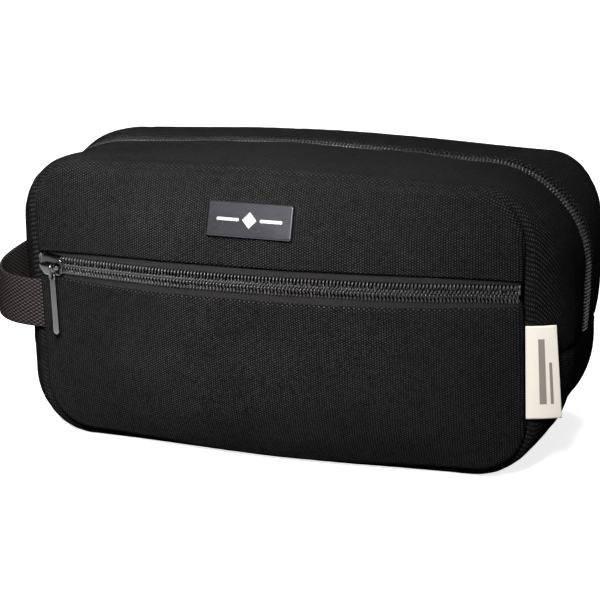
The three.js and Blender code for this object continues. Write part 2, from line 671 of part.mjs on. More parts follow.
function buildPlate() {
  const bevel = 0.5;
  const outline = roundedRectangle(PLATE_WIDTH - 2 * bevel, PLATE_HEIGHT - 2 * bevel, 0.7);
  const face = new THREE.ExtrudeGeometry(outline, {
    depth: PLATE_THICKNESS - bevel,
    bevelEnabled: true,
    bevelThickness: bevel,
    bevelSize: bevel,
    bevelSegments: 1,
    curveSegments: 2,
  });
  const floor = GAP + bevel;
  face.translate(0, 0, floor);
  const prongLength = 6;
  const washerFace = -CLOTH - 1.5;
  const washerThickness = 0.6;
  const prongs = [-1, 1].flatMap((side) => [
    box(3, 0.8, prongLength, side * PRONG_X, 0, 0.5 - prongLength / 2 + floor),
    box(4.5, 0.8, 0.8, side * (PRONG_X - 0.75), 0, 0.9 - prongLength + floor),
  ]);
  add('metal_plate', plateFrame(join(face, ...prongs)), plateMetal);
  const washer = new THREE.ExtrudeGeometry(roundedRectangle(38, 9, 2), {
    depth: washerThickness, bevelEnabled: false, curveSegments: 3,
  }).translate(0, 0, washerFace - washerThickness);
  const holes = [-1, 1].map((side) => box(4, 1.8, 6, side * PRONG_X, 0, washerFace));
  add('plate_washer', plateFrame(cut(washer, ...holes)), gunmetal);
}

buildFrontPanels();
buildPocketBacking();
buildBackPanel();
buildGussets();
buildBindings();
buildMainZip();
buildPocketZip();
buildPocketSlider();
buildMainSlider();
buildGrabLoop();
buildLabel();
buildPlate();

export default bag;
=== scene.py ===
"""Shaving kit bag: the visual model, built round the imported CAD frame.

The shape functions below work in millimetres, like the CAD; mesh_piece() turns them into metres.
"""

import math

import bmesh
import bpy
import numpy as np
from mathutils import Matrix, Vector
from mathutils.bvhtree import BVHTree


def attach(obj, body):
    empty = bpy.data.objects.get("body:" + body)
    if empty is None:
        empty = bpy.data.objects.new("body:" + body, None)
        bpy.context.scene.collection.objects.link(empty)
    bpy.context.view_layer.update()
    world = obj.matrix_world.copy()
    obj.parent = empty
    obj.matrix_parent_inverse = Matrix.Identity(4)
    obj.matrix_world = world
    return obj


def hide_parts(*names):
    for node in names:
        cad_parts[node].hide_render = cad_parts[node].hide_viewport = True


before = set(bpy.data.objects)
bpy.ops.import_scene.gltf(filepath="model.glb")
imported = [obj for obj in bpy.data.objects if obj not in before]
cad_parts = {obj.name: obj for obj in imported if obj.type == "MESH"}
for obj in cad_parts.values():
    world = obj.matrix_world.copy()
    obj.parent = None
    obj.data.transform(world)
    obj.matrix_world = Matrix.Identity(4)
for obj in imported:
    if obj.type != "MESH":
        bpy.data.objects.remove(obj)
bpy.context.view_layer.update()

# ---- Dimensions shared with the CAD ----
SEAM_HALF_WIDTH = 125.0
HALF_DEPTH = 48.4
PANEL_PLANE = 50.3
SEAM_TOP = 142.6
SEAM_LIFT = 5.0
TOP_RADIUS = 24.6
BACK_TOP_RADIUS = 16.0
BOTTOM_RADIUS = 26.4
ZIP_RADIUS = 49.0
MID_BOTTOM_LEFT = 28.0
MID_BOTTOM_RIGHT = 58.0
END_BULGE = 16.0
WAIST = 1.5
TOP_BOW = 1.8
MID_TOP_BOW = 3.5
BOTTOM_BOW = 4.2
TOP_CROWN = 3.75
BACK_DROP = 6.5
CROWN_POWER = 2.4
END_POWER = 4
FLAT_HALF_DEPTH = 38.0
END_SEAM_Z = 62.0
FRONT_BULGE = 16.5
BACK_BULGE = 13.0
ZIP_Z = 93.5
ZIP_SKEW = 1.8
ZIP_TILT = math.radians(5)
ZIP_HALF_WIDTH = SEAM_HALF_WIDTH - WAIST
ZIP_SLOT = 8.8
MAIN_SLOT = 6.5
TAPE_HALF_WIDTH = 13.0
BACKING_INSET = 2.4
BACKING_SET_BACK = 5.0
POCKET_DEPTH = 5.5
PLATE_TOP = 2.8
BAR_CENTRE = 5.5
LINK_RADIUS = 1.9
LINK_REACH = 4.4
PULL_SHIFT = 3.0
PULL_LENGTH = 29.7
MAIN_PULL_LENGTH = 22.0
FRONT_SLIDER_X = -113.0
WEBBING = 25.0
WEBBING_THICKNESS = 1.8
WEBBING_Z = 70.0
LOOP_REACH = 37.0
LOOP_SQUARE = 0.8
LOOP_LEAN = 0.1
PLATE_X = -4.0
PLATE_Z = 124.8
PLATE_WIDTH = 43.0
PLATE_HEIGHT = 16.4
LABEL_BOTTOM = 34.0
LABEL_TOP = 80.0
LABEL_REACH = 16.5
LABEL_ANGLE = math.radians(22)

# ---- How far the filled bag slumps ----
LEAN_LEFT = 13.0
LEAN_RIGHT = 2.5
BACK_CROWN = 0.8
BACK_SLOPE = 2.2
END_DRAWN = 3.0
SHOULDER_SAG = 2.2

# ---- Light ----
FLOOR_GLOW = 0.8
WORLD = 0.12
KEY_POWER = 2.4
KEY_SPREAD = math.radians(55)
TOP_POWER = 4.8

# ---- Dimensions of the details that only the visual model has ----
FOLD = 0.55           # radius of a folded canvas edge beside a zip
FOLD_RETURN = 3.5     # how far the folded canvas runs back under itself
SEAM_ROLL = 2.2       # radius with which canvas turns into a seam
SEAM_GROOVE = 1.2     # how far a panel's flank stays inside the seam's outline
STITCH = 3.3          # length of one stitch with its gap
COIL_PITCH = 1.75
COIL_CENTRE = 2.0
COIL_HALF = 1.95
COIL_WIRE = 0.36


# ---- Arrays of points ----
def mix(a, b, s):
    return a + (b - a) * s


def stack(x, y, z):
    x, y, z = np.broadcast_arrays(x, y, z)
    return np.stack([x, y, z], -1).astype(float)


def unit(v):
    return v / np.maximum(np.linalg.norm(v, axis=-1, keepdims=True), 1e-12)


def moved(surface, a, b, height):
    """Points of a surface moved off it along its outward normal."""
    h = 0.002
    du = surface(a + h, b) - surface(a - h, b)
    dv = surface(a, b + h) - surface(a, b - h)
    return surface(a, b) + unit(np.cross(du, dv)) * np.asarray(height)[..., None]


def bump(x, centre, width):
    return np.exp(-(((x - centre) / width) ** 2))


def ripple(p, seed, scale):
    """A smooth, repeatable unevenness between about -1 and 1, from waves in fixed directions."""
    rng = np.random.default_rng(seed)
    total = np.zeros(p.shape[:-1])
    for _ in range(9):
        direction = unit(rng.normal(size=3))
        length = scale * rng.uniform(0.6, 1.8)
        total += np.sin((p @ direction) * (2 * np.pi / length) + rng.uniform(0, 2 * np.pi))
    return total / 3.6


# ---- The bag's surfaces ----
def share(y, power):
    return 1 - np.minimum(1, np.abs(y) / HALF_DEPTH) ** power


def outline_at(y):
    end = share(y, END_POWER)
    edge = np.clip((np.abs(y) - FLAT_HALF_DEPTH) / (HALF_DEPTH - FLAT_HALF_DEPTH), 0, 1)
    drop = BACK_DROP * (y + HALF_DEPTH) / (2 * HALF_DEPTH)
    return {
        "half_width": SEAM_HALF_WIDTH + END_BULGE * end,
        "top_radius": np.where(
            y < 0,
            mix(TOP_RADIUS, ZIP_RADIUS, share(y, 2)),
            mix(BACK_TOP_RADIUS, ZIP_RADIUS, share(y, 1.6)),
        ),
        "left_radius": mix(BOTTOM_RADIUS, MID_BOTTOM_LEFT, end),
        "right_radius": mix(BOTTOM_RADIUS, MID_BOTTOM_RIGHT, end),
        "top": SEAM_TOP - drop + TOP_CROWN * share(y, CROWN_POWER),
        "bottom": SEAM_LIFT * edge**2,
        "waist": WAIST * (1 - end),
        "top_bow": mix(TOP_BOW, MID_TOP_BOW, end),
        "bottom_bow": BOTTOM_BOW * edge**2,
    }


def ease(x, z, o):
    def span(radius):
        return (1 - np.minimum(1, np.abs(x) / (o["half_width"] - radius)) ** 2) ** 2

    middle = SEAM_TOP / 2
    v = np.clip((z - middle) / middle, -1, 1)
    raised = z + o["top_bow"] * np.maximum(v, 0) * span(o["top_radius"])
    raised = raised - o["bottom_bow"] * np.maximum(-v, 0) * span(o["left_radius"])
    return x * (1 - o["waist"] * (1 - v * v) / o["half_width"]), raised


def gusset(y, k):
    """The gusset's face at depth y; k counts ten stretches of outline from the right end seam."""
    y, k = np.broadcast_arrays(np.asarray(y, float), np.asarray(k, float))
    o = outline_at(y)
    stretch = np.floor(np.clip(k, 0, 9.9999))
    s = k - stretch
    w, rt, rl, rr = o["half_width"], o["top_radius"], o["left_radius"], o["right_radius"]
    top_x, top_z = w - rt, o["top"] - rt
    left_x, left_z = w - rl, o["bottom"] + rl
    right_x, right_z = w - rr, o["bottom"] + rr
    turn = s * np.pi / 2
    xs = [
        w, top_x + rt * np.cos(turn), mix(top_x, -top_x, s), -top_x - rt * np.sin(turn), -w,
        -w, -left_x - rl * np.cos(turn), mix(-left_x, right_x, s), right_x + rr * np.sin(turn), w,
    ]
    zs = [
        mix(END_SEAM_Z, top_z, s), top_z + rt * np.sin(turn), o["top"], top_z + rt * np.cos(turn),
        mix(top_z, END_SEAM_Z, s), mix(END_SEAM_Z, left_z, s), left_z - rl * np.sin(turn),
        o["bottom"], right_z - rr * np.cos(turn), mix(right_z, END_SEAM_Z, s),
    ]
    picks = [stretch == i for i in range(10)]
    x = np.select(picks, [np.broadcast_to(v, y.shape) for v in xs])
    z = np.select(picks, [np.broadcast_to(v, y.shape) for v in zs])
    xe, ze = ease(x, z, o)
    return stack(xe, y, ze)


SEAM_FRONT = outline_at(np.float64(-HALF_DEPTH))
SEAM_BACK = outline_at(np.float64(HALF_DEPTH))
ZIP_ARC = (ZIP_HALF_WIDTH**2 + FRONT_BULGE**2) / (2 * FRONT_BULGE)


def half_width_at(z):
    v = np.clip(z / (SEAM_TOP / 2) - 1, -1, 1)
    return SEAM_HALF_WIDTH - WAIST * (1 - v * v)


def seam_height(u, outline, side):
    radius = outline["top_radius"] if side > 0 else outline["left_radius"]
    x = np.abs(u) * outline["half_width"]
    past = np.maximum(0, x - (outline["half_width"] - radius))
    drop = radius - np.sqrt(np.maximum(0, radius**2 - past**2))
    z = outline["top"] - drop if side > 0 else outline["bottom"] + drop
    return ease(x, z, outline)[1]


def zip_rise(u):
    return np.sqrt(ZIP_ARC**2 - (u * ZIP_HALF_WIDTH) ** 2) - (ZIP_ARC - FRONT_BULGE)


def zip_height(u):
    return ZIP_Z + ZIP_SKEW * u + zip_rise(u) * math.sin(ZIP_TILT)


def front_panel(u, z):
    side = np.clip(u, -1, 1)
    middle = zip_height(side)
    upper = z > middle
    far = np.where(upper, seam_height(side, SEAM_FRONT, 1), seam_height(side, SEAM_FRONT, -1))
    d = np.clip(np.abs(z - middle) / np.maximum(1, np.abs(far - middle)), 0, 1)
    falloff = 1 - d ** np.where(upper, 2.6, 5.0)
    bulge = zip_rise(side) * math.cos(ZIP_TILT) * falloff
    return stack(u * half_width_at(z), -PANEL_PLANE - bulge, z)


def back_panel(u, z):
    side = np.clip(u, -1, 1)
    low = seam_height(side, SEAM_BACK, -1)
    high = seam_height(side, SEAM_BACK, 1)
    v = np.clip(2 * (z - low) / np.maximum(1, high - low) - 1, -1, 1)
    bulge = BACK_BULGE * (1 - side**2) * (1 - np.abs(v) ** 3.5)
    return stack(-u * half_width_at(z), PANEL_PLANE + bulge, z)


# ---- The filled bag's slump, which every sewn piece follows ----
def smooth(value):
    s = np.clip(value, 0, 1)
    return s * s * (3 - 2 * s)


def slumped(points):
    """The back leans in at its upper left, and the right end draws in near the ground."""
    x, y, z = points.T
    back = smooth((y - 20) / 26) * smooth((z - 88) / 45)
    left, right = np.clip(-x / 125, 0, 1) ** 2, np.clip(x / 125, 0, 1) ** 2
    end = bump(z, 46, 26) * smooth((x - 85) / 50) * smooth((y + 40) / 45)
    shoulder = bump(x, -112, 20) * smooth((z - 100) / 30) * bump(y, -18, 16)
    shift = np.stack([
        back * (LEAN_LEFT * left + LEAN_RIGHT * right) - END_DRAWN * end,
        np.zeros(len(x)),
        back * (BACK_CROWN - BACK_SLOPE * (x / 125) ** 2) - SHOULDER_SAG * shoulder,
    ], -1)
    return points + shift


# ---- Meshes ----
def mesh_piece(name, points, faces, material, body="bag", uv=None, shaded=True, settled_already=False):
    """A piece from points in millimetres. uv, also in millimetres, places its weave."""
    mesh = bpy.data.meshes.new(name)
    points = np.asarray(points, float).reshape(-1, 3)
    if body == "bag" and not settled_already:
        points = slumped(points)
    points = points * 0.001
    mesh.from_pydata(points.tolist(), [], faces.tolist() if isinstance(faces, np.ndarray) else faces)
    if uv is not None:
        layer = mesh.uv_layers.new(name="weave")
        corners = np.empty(len(mesh.loops), np.int32)
        mesh.loops.foreach_get("vertex_index", corners)
        flat = np.asarray(uv, float).reshape(-1, 2)[corners]
        layer.data.foreach_set("uv", flat.ravel())
    mesh.materials.append(material)
    mesh.update()
    if shaded:
        mesh.polygons.foreach_set("use_smooth", [True] * len(mesh.polygons))
    piece = bpy.data.objects.new(name, mesh)
    bpy.context.scene.collection.objects.link(piece)
    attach(piece, body)
    return piece


def grid_faces(rows, columns, wrap_rows=False, wrap_columns=False, start=0):
    i = np.arange(rows if wrap_rows else rows - 1)
    j = np.arange(columns if wrap_columns else columns - 1)
    i, j = np.meshgrid(i, j, indexing="ij")
    ni, nj = (i + 1) % rows, (j + 1) % columns
    quads = np.stack([i * columns + j, ni * columns + j, ni * columns + nj, i * columns + nj], -1)
    return quads.reshape(-1, 4) + start


def joined(parts):
    """Several (points, faces) as one."""
    points, faces, start = [], [], 0
    for p, f in parts:
        p = np.asarray(p).reshape(-1, 3)
        points.append(p)
        faces += [[v + start for v in face] for face in (f.tolist() if isinstance(f, np.ndarray) else f)]
        start += len(p)
    return np.concatenate(points), faces


def thicken(piece, thickness):
    solid = piece.modifiers.new("thickness", "SOLIDIFY")
    solid.thickness = thickness * 0.001
    solid.offset = -1
    return piece


def frames_along(path, hint, closed=False):
    """Tangents and two cross directions of a path, the second near the hint directions."""
    if closed:
        tangent = unit(np.roll(path, -1, 0) - np.roll(path, 1, 0))
    else:
        tangent = unit(np.gradient(path, axis=0))
    normal = unit(hint - (hint * tangent).sum(-1, keepdims=True) * tangent)
    return tangent, unit(np.cross(normal, tangent)), normal


def sweep(path, hint, profile, closed=False, scale=None):
    """A profile (across, up) swept along a path, its ends closed."""
    _, across, normal = frames_along(path, hint, closed)
    profile = np.asarray(profile, float)
    size = np.ones(len(path)) if scale is None else np.asarray(scale, float)
    points = path[:, None] + size[:, None, None] * (
        across[:, None] * profile[None, :, 0:1] + normal[:, None] * profile[None, :, 1:2]
    )
    rows, columns = points.shape[:2]
    faces = grid_faces(rows, columns, wrap_rows=closed, wrap_columns=True).tolist()
    if not closed:
        faces.append(list(range(columns))[::-1])
        faces.append([(rows - 1) * columns + j for j in range(columns)])
    return points.reshape(-1, 3), faces


def circle(radius, sides, squash=1.0):
    a = np.arange(sides) * 2 * np.pi / sides
    return np.stack([radius * np.cos(a), radius * squash * np.sin(a)], -1)


def rounded_profile(width, height, radius, corner=4):
    """A rounded rectangle as (across, up) points."""
    points = []
    for cx, cy, start in ((1, 1, 0), (-1, 1, 90), (-1, -1, 180), (1, -1, 270)):
        for n in range(corner + 1):
            a = math.radians(start + 90 * n / corner)
            points.append([
                cx * (width / 2 - radius) + radius * math.cos(a),
                cy * (height / 2 - radius) + radius * math.sin(a),
            ])
    return np.array(points)


def along_path(path):
    return np.concatenate([[0], np.cumsum(np.linalg.norm(np.diff(path, axis=0), axis=1))])


def resample(path, values, distances):
    """Columns of values at the given distances along a path."""
    run = along_path(path)
    return np.stack([np.interp(distances, run, values[:, i]) for i in range(values.shape[1])], -1)


# ---- Material nodes ----
class Nodes:
    def __init__(self, name, color, roughness, metallic=0.0):
        self.material = bpy.data.materials.new(name)
        self.material.use_nodes = True
        self.tree = self.material.node_tree
        self.shader = self.tree.nodes["Principled BSDF"]
        self.shader.inputs["Base Color"].default_value = (*color, 1)
        self.shader.inputs["Roughness"].default_value = roughness
        self.shader.inputs["Metallic"].default_value = metallic

    def feed(self, socket, value):
        if isinstance(value, bpy.types.NodeSocket):
            self.tree.links.new(value, socket)
        elif value is not None:
            socket.default_value = value

    def node(self, kind, inputs=None, **settings):
        node = self.tree.nodes.new(kind)
        for key, value in settings.items():
            setattr(node, key, value)
        for key, value in (inputs or {}).items():
            self.feed(node.inputs[key], value)
        return node

    def math(self, operation, *values):
        node = self.node("ShaderNodeMath", operation=operation)
        for socket, value in zip(node.inputs, values):
            self.feed(socket, value)
        return node.outputs[0]

    def weave_axes(self):
        uv = self.node("ShaderNodeUVMap", uv_map="weave").outputs[0]
        split = self.node("ShaderNodeSeparateXYZ", {0: uv})
        return split.outputs[0], split.outputs[1]

    def place(self):
        return self.node("ShaderNodeTexCoord").outputs["Object"]

    def noise(self, scale, detail=2.0, rough=0.5, vector=None):
        inputs = {"Scale": scale, "Detail": detail, "Roughness": rough}
        inputs["Vector"] = self.place() if vector is None else vector
        return self.node("ShaderNodeTexNoise", inputs).outputs["Fac"]

    def range(self, value, low, high, to_low=0.0, to_high=1.0):
        inputs = {"Value": value, "From Min": low, "From Max": high, "To Min": to_low, "To Max": to_high}
        return self.node("ShaderNodeMapRange", inputs).outputs[0]

    def blend(self, factor, a, b):
        node = self.node("ShaderNodeMix", data_type="RGBA")
        self.feed(node.inputs["Factor"], factor)
        self.feed(node.inputs["A"], (*a, 1) if isinstance(a, tuple) else a)
        self.feed(node.inputs["B"], (*b, 1) if isinstance(b, tuple) else b)
        return node.outputs["Result"]

    def colour(self, value):
        self.feed(self.shader.inputs["Base Color"], value)

    def roughness(self, value):
        self.feed(self.shader.inputs["Roughness"], value)

    def relief(self, height, distance, strength=1.0):
        inputs = {"Height": height, "Distance": distance * 0.001, "Strength": strength}
        self.feed(self.shader.inputs["Normal"], self.node("ShaderNodeBump", inputs).outputs[0])

    def weave_height(self, crossing):
        """Threads on top where the crossing is positive, shallower ones where it is negative."""
        return self.math("MAXIMUM", crossing, self.math("MULTIPLY", crossing, -0.6))

    def plain_weave(self, u, v, across, along):
        """Heights of a plain weave: ribs `across` apart, crossed every `along`, in millimetres."""
        su = self.math("SINE", self.math("MULTIPLY", u, math.pi / across))
        sv = self.math("SINE", self.math("MULTIPLY", v, math.pi / along))
        both = self.math("MULTIPLY", su, sv)
        warp = self.math("MULTIPLY", self.math("ADD", self.math("ABSOLUTE", su), both), 0.5)
        weft = self.math("MULTIPLY", self.math("SUBTRACT", self.math("ABSOLUTE", sv), both), 0.5)
        return self.math("MAXIMUM", warp, self.math("MULTIPLY", weft, 0.72))


def canvas_material(name, dark, light, across=1.2, along=0.59):
    """A heavy plain weave: columns of raised threads over sunken ones, each thread its own shade."""
    n = Nodes(name, light, 0.9)
    u, v = n.weave_axes()
    drift = n.math("MULTIPLY", n.math("SUBTRACT", n.noise(110, 2), 0.5), 0.7)
    u = n.math("ADD", u, drift)
    v = n.math("ADD", v, n.math("MULTIPLY", drift, -0.7))
    crossing = n.math("MULTIPLY", n.math("SINE", n.math("MULTIPLY", u, math.pi / across)),
                      n.math("SINE", n.math("MULTIPLY", v, math.pi / along)))
    raised = n.range(crossing, 0.12, 0.85)
    sunken = n.range(n.math("MULTIPLY", crossing, -1), 0.1, 1, 0, 0.14)
    slub = n.noise(520, 3, 0.7)
    lit = n.math("MULTIPLY", n.math("ADD", raised, sunken), n.range(slub, 0.32, 0.68, 0.35, 1.35))
    tone = n.blend(lit, dark, light)
    cloud = n.range(n.noise(30, 3, 0.6), 0.35, 0.65, 0.0, 0.3)
    n.colour(n.blend(n.math("MULTIPLY", cloud, lit), tone, tuple(c * 1.5 for c in light)))
    n.roughness(n.range(raised, 0, 1, 0.98, 0.8))
    n.relief(n.math("ADD", n.weave_height(crossing), n.math("MULTIPLY", slub, 0.4)), 0.3, 0.7)
    n.shader.inputs["Specular IOR Level"].default_value = 0.0
    return n.material


def tape_material():
    n = Nodes("zip_tape", (0.02, 0.019, 0.019), 0.85)
    u, v = n.weave_axes()
    zig = n.math("PINGPONG", v, 2.4)
    slant = n.math("ADD", u, n.math("MULTIPLY", zig, 0.8))
    twill = n.math("SINE", n.math("MULTIPLY", slant, math.pi / 0.42))
    twill = n.math("ADD", n.math("MULTIPLY", twill, 0.5), 0.5)
    fuzz = n.noise(900, 2)
    cloth = n.blend(n.math("MULTIPLY", twill, fuzz), (0.0075, 0.007, 0.007), (0.03, 0.028, 0.0272))
    # painted shade: within 3.9 to 4.5 mm of the centre line, under the coil, the tape fades to near
    # black
    n.colour(n.blend(n.range(n.math("ABSOLUTE", v), 3.9, 4.5), (0.0015, 0.0015, 0.0015), cloth))
    n.relief(twill, 0.12, 0.6)
    n.shader.inputs["Specular IOR Level"].default_value = 0.0
    return n.material


def coil_material():
    """Satin nylon; the heads and outer bends carry a painted highlight, brighter than the legs under the
    thread.
    """
    n = Nodes("zip_coil", (0.01, 0.0095, 0.0095), 0.34)
    _, reach = n.weave_axes()
    # painted highlight: the colour brightens towards the heads and outer bends at both ends of each loop
    ends = n.range(n.math("ABSOLUTE", n.math("SUBTRACT", reach, COIL_CENTRE)), 1.0, 1.8)
    streak = n.noise(400, 2)
    tone = n.blend(streak, (0.0025, 0.0024, 0.0024), (0.0068, 0.0065, 0.0066))
    n.colour(n.blend(ends, tone, (0.04, 0.038, 0.0385)))
    n.roughness(n.range(n.noise(1200, 2), 0.3, 0.7, 0.26, 0.42))
    n.relief(streak, 0.04, 0.4)
    return n.material


def thread_material(name, color):
    n = Nodes(name, color, 0.6)
    u, _ = n.weave_axes()
    ply = n.math("SINE", n.math("MULTIPLY", u, math.pi / 0.35))
    n.colour(n.blend(n.range(ply, -1, 1), tuple(c * 0.55 for c in color), color))
    n.relief(ply, 0.06, 0.5)
    return n.material


def metal_material(name, color, roughness, grain=0.0):
    n = Nodes(name, color, roughness, 1.0)
    cloud = n.noise(60, 3, 0.6)
    fine = n.noise(1500, 3, 0.7)
    n.colour(n.blend(cloud, tuple(c * 0.82 for c in color), tuple(min(1, c * 1.15) for c in color)))
    n.roughness(n.range(fine, 0.3, 0.7, roughness * 0.8, roughness * 1.25))
    n.relief(fine, 0.02, grain)
    return n.material


def webbing_material():
    """Heavy webbing: raised, half-staggered floats between dark gaps."""
    n = Nodes("webbing", (0.05, 0.044, 0.042), 0.85)
    u, v = n.weave_axes()
    crossing = n.math("MULTIPLY", n.math("SINE", n.math("MULTIPLY", u, math.pi / 1.55)),
                      n.math("SINE", n.math("MULTIPLY", v, math.pi / 0.95)))
    raised = n.range(crossing, -0.25, 0.8)
    fuzz = n.noise(700, 3, 0.7)
    lit = n.math("MULTIPLY", raised, n.range(fuzz, 0.3, 0.7, 0.6, 1.2))
    n.colour(n.blend(lit, (0.006, 0.0052, 0.005), (0.042, 0.0365, 0.0355)))
    n.relief(n.math("ADD", raised, n.math("MULTIPLY", fuzz, 0.3)), 0.35, 0.8)
    n.shader.inputs["Specular IOR Level"].default_value = 0.0
    return n.material


def label_material():
    n = Nodes("label", (0.9, 0.875, 0.83), 0.85)
    u, v = n.weave_axes()
    weave = n.plain_weave(u, v, 0.42, 0.36)
    fuzz = n.noise(800, 3, 0.7)
    lit = n.math("MULTIPLY", weave, n.range(fuzz, 0.3, 0.7, 0.7, 1.2))
    n.colour(n.blend(lit, (0.525, 0.485, 0.425), (0.63, 0.592, 0.535)))
    n.relief(weave, 0.09, 0.5)
    return n.material


def print_material():
    n = Nodes("label_ink", (0.16, 0.13, 0.11), 0.8)
    u, v = n.weave_axes()
    weave = n.plain_weave(u, v, 0.42, 0.36)
    n.colour(n.blend(weave, (0.11, 0.09, 0.078), (0.22, 0.185, 0.165)))
    n.relief(weave, 0.09, 0.5)
    return n.material


CANVAS = canvas_material("canvas", (0.0022, 0.0022, 0.0022), (0.027, 0.0267, 0.0268))
LINING = canvas_material("lining", (0.02, 0.02, 0.021), (0.05, 0.05, 0.052), 0.4, 0.4)
TAPE = tape_material()
COIL = coil_material()
THREAD = thread_material("stitching", (0.1, 0.1, 0.1))
GUNMETAL = metal_material("gunmetal", (0.075, 0.073, 0.075), 0.22, 0.2)
PLATE_METAL = metal_material("plate_metal", (0.036, 0.035, 0.039), 0.42, 0.6)
MOTIF = metal_material("plate_motif", (0.42, 0.42, 0.43), 0.45, 0.3)
WEBBING_CLOTH = webbing_material()
LABEL_CLOTH = label_material()
LABEL_INK = print_material()


# ---- Canvas panels ----
def seam_outline(outline, mirror=1):
    """The closed seam line of a panel in x and z, with its inward directions."""
    k = np.linspace(0, 10, 1400, endpoint=False)
    y = np.full(k.shape, -HALF_DEPTH if outline is SEAM_FRONT else HALF_DEPTH)
    line = gusset(y, k)[:, [0, 2]]
    tangent = unit(np.roll(line, -1, 0) - np.roll(line, 1, 0))
    inward = np.stack([-tangent[:, 1], tangent[:, 0]], -1)
    return line, inward


def rolled_panel(points, outline, sign):
    """Turns a panel's edge into its seam: within 4 mm of the outline it rolls over and in."""
    line, inward = seam_outline(outline)
    flat = points.reshape(-1, 3)
    distance = np.empty(len(flat))
    nearest = np.empty(len(flat), int)
    for i in range(0, len(flat), 2000):
        gap = np.linalg.norm(flat[i:i + 2000, None, [0, 2]] - line[None], axis=-1)
        nearest[i:i + 2000] = gap.argmin(1)
        offset = flat[i:i + 2000][:, [0, 2]] - line[nearest[i:i + 2000]]
        distance[i:i + 2000] = np.abs((offset * inward[nearest[i:i + 2000]]).sum(1))
    turn = (np.pi / 2 + 0.6) * np.clip(1 - distance / 4.5, 0, 1)
    rolled = SEAM_ROLL + SEAM_GROOVE - SEAM_ROLL * np.sin(turn)
    eased = distance - (4.5 - SEAM_ROLL - SEAM_GROOVE) * np.exp(-(distance - 4.5) / 6)
    target = np.where(distance < 4.5, rolled, eased)
    shift = inward[nearest] * (target - distance)[:, None]
    out = flat.copy()
    out[:, 0] += shift[:, 0]
    out[:, 2] += shift[:, 1]
    out[:, 1] += -sign * SEAM_ROLL * (1 - np.cos(turn))
    fade = np.clip((distance - 2) / 14, 0, 1)
    out[:, 1] += sign * 0.55 * fade * ripple(flat, 3, 70)
    out[:, 1] += sign * 0.22 * fade * ripple(flat, 8, 24)
    pucker = bump(distance, 7, 5) * np.clip(ripple(flat, 21, 11), -1, 1)
    out[:, 1] += sign * 0.12 * pucker
    return out.reshape(points.shape)


def columns(count):
    return np.sin(np.linspace(-np.pi / 2, np.pi / 2, count))


def front_half(name, node, upper):
    """One of the two canvas pieces beside the pocket zip, its zip edge folded under."""
    u = columns(190)[:, None]
    edge = zip_height(u) + (1 if upper else -1) * ZIP_SLOT * (1 - 0.28 * u**4)
    seam = seam_height(u, SEAM_FRONT, 1 if upper else -1)
    side = 1 if upper else -1
    flat_rows = np.linspace(0, 1, 56 if upper else 84)[None]
    power = 1.0 if upper else 1.15
    start = edge + side * FOLD
    z = mix(start, seam, 1 - (1 - flat_rows) ** power)
    body = front_panel(u, z)
    body = rolled_panel(body, SEAM_FRONT, -1)
    first = body[:, 0]
    normal = unit(first - moved(front_panel, u[:, 0], z[:, 0], -1.0 * np.ones(len(u))))
    up = np.array([0, 0, 1.0]) * -side
    folds = []
    for turn in np.linspace(0, np.pi, 8)[1:]:
        folds.append(first + up * FOLD * np.sin(turn) - normal * FOLD * (1 - np.cos(turn)))
    folds.append(folds[-1] - up * FOLD_RETURN)
    fold = np.stack(folds[::-1], 1)
    points = np.concatenate([fold, body], 1)
    run = np.cumsum(np.linalg.norm(np.diff(points, axis=1), axis=2), 1)
    run = np.concatenate([np.zeros((len(u), 1)), run], 1)
    run = run - run[:, [fold.shape[1]]]
    v = (z[:, :1] + side * run)
    x = np.broadcast_to(points[:, :, 0], v.shape)
    uv = np.stack([x, v], -1)
    faces = grid_faces(*points.shape[:2])
    if not upper:
        faces = faces[:, ::-1]
    piece = mesh_piece(name, points, faces[:, ::-1], CANVAS, uv=uv)
    thicken(piece, 0.7)
    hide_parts(node)
    return piece


def back_piece():
    u = columns(190)[:, None]
    rows = (1 - np.cos(np.linspace(0, np.pi, 110)))[None] / 2
    z = mix(seam_height(u, SEAM_BACK, -1), seam_height(u, SEAM_BACK, 1), rows)
    points = rolled_panel(back_panel(u, z), SEAM_BACK, 1)
    uv = points[..., [0, 2]]
    piece = mesh_piece("back_canvas", points, grid_faces(*points.shape[:2]), CANVAS, uv=uv)
    thicken(piece, 0.7)
    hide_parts("back_panel")
    return piece


# ---- Canvas gussets ----
def path_stations(first, last, spacing):
    """Positions k along the outline, evenly spaced in millimetres at mid-depth."""
    k = np.linspace(first, last, 4000)
    path = gusset(np.zeros_like(k), k)
    run = along_path(path)
    count = int(run[-1] / spacing)
    return np.interp(np.linspace(0, run[-1], count), run, k)


def gusset_relief(y, k, first, last):
    """Height added to a gusset's face: the ridge along each seam, the end seams and creases."""
    base = gusset(y, k)
    d = HALF_DEPTH - np.abs(y)
    height = 0.3 * bump(d, 3.2, 2.2) - 0.2 * bump(d, 8.5, 3.5)
    mid = gusset(np.zeros_like(k[:, 0]), k[:, 0])
    run = along_path(mid)
    to_end = np.minimum(run, run[-1] - run)[:, None]
    roll = np.clip(1 - to_end / 1.8, 0, 1)
    height = height - 1.8 * (1 - np.sqrt(1 - roll**2)) - 0.5 * bump(to_end, 0, 6)
    open_part = np.clip((d - 4) / 12, 0, 1)
    height = height + 0.55 * open_part * ripple(base, 5, 60) + 0.2 * open_part * ripple(base, 6, 20)
    corner = np.clip(np.abs(np.sin(2 * np.arctan2(base[..., 2] - 74, np.abs(base[..., 0]) - 70))), 0, 1)
    height = height + 0.2 * bump(d, 9, 7) * corner * ripple(base * [1, 0.35, 1], 9, 9)
    crease = bump(y + 24, 0, 1.6) * np.clip((np.abs(base[..., 0]) - 118) / 12, 0, 1)
    crease = crease * np.clip((118 - base[..., 2]) / 25, 0, 1)
    return height + 0.45 * crease


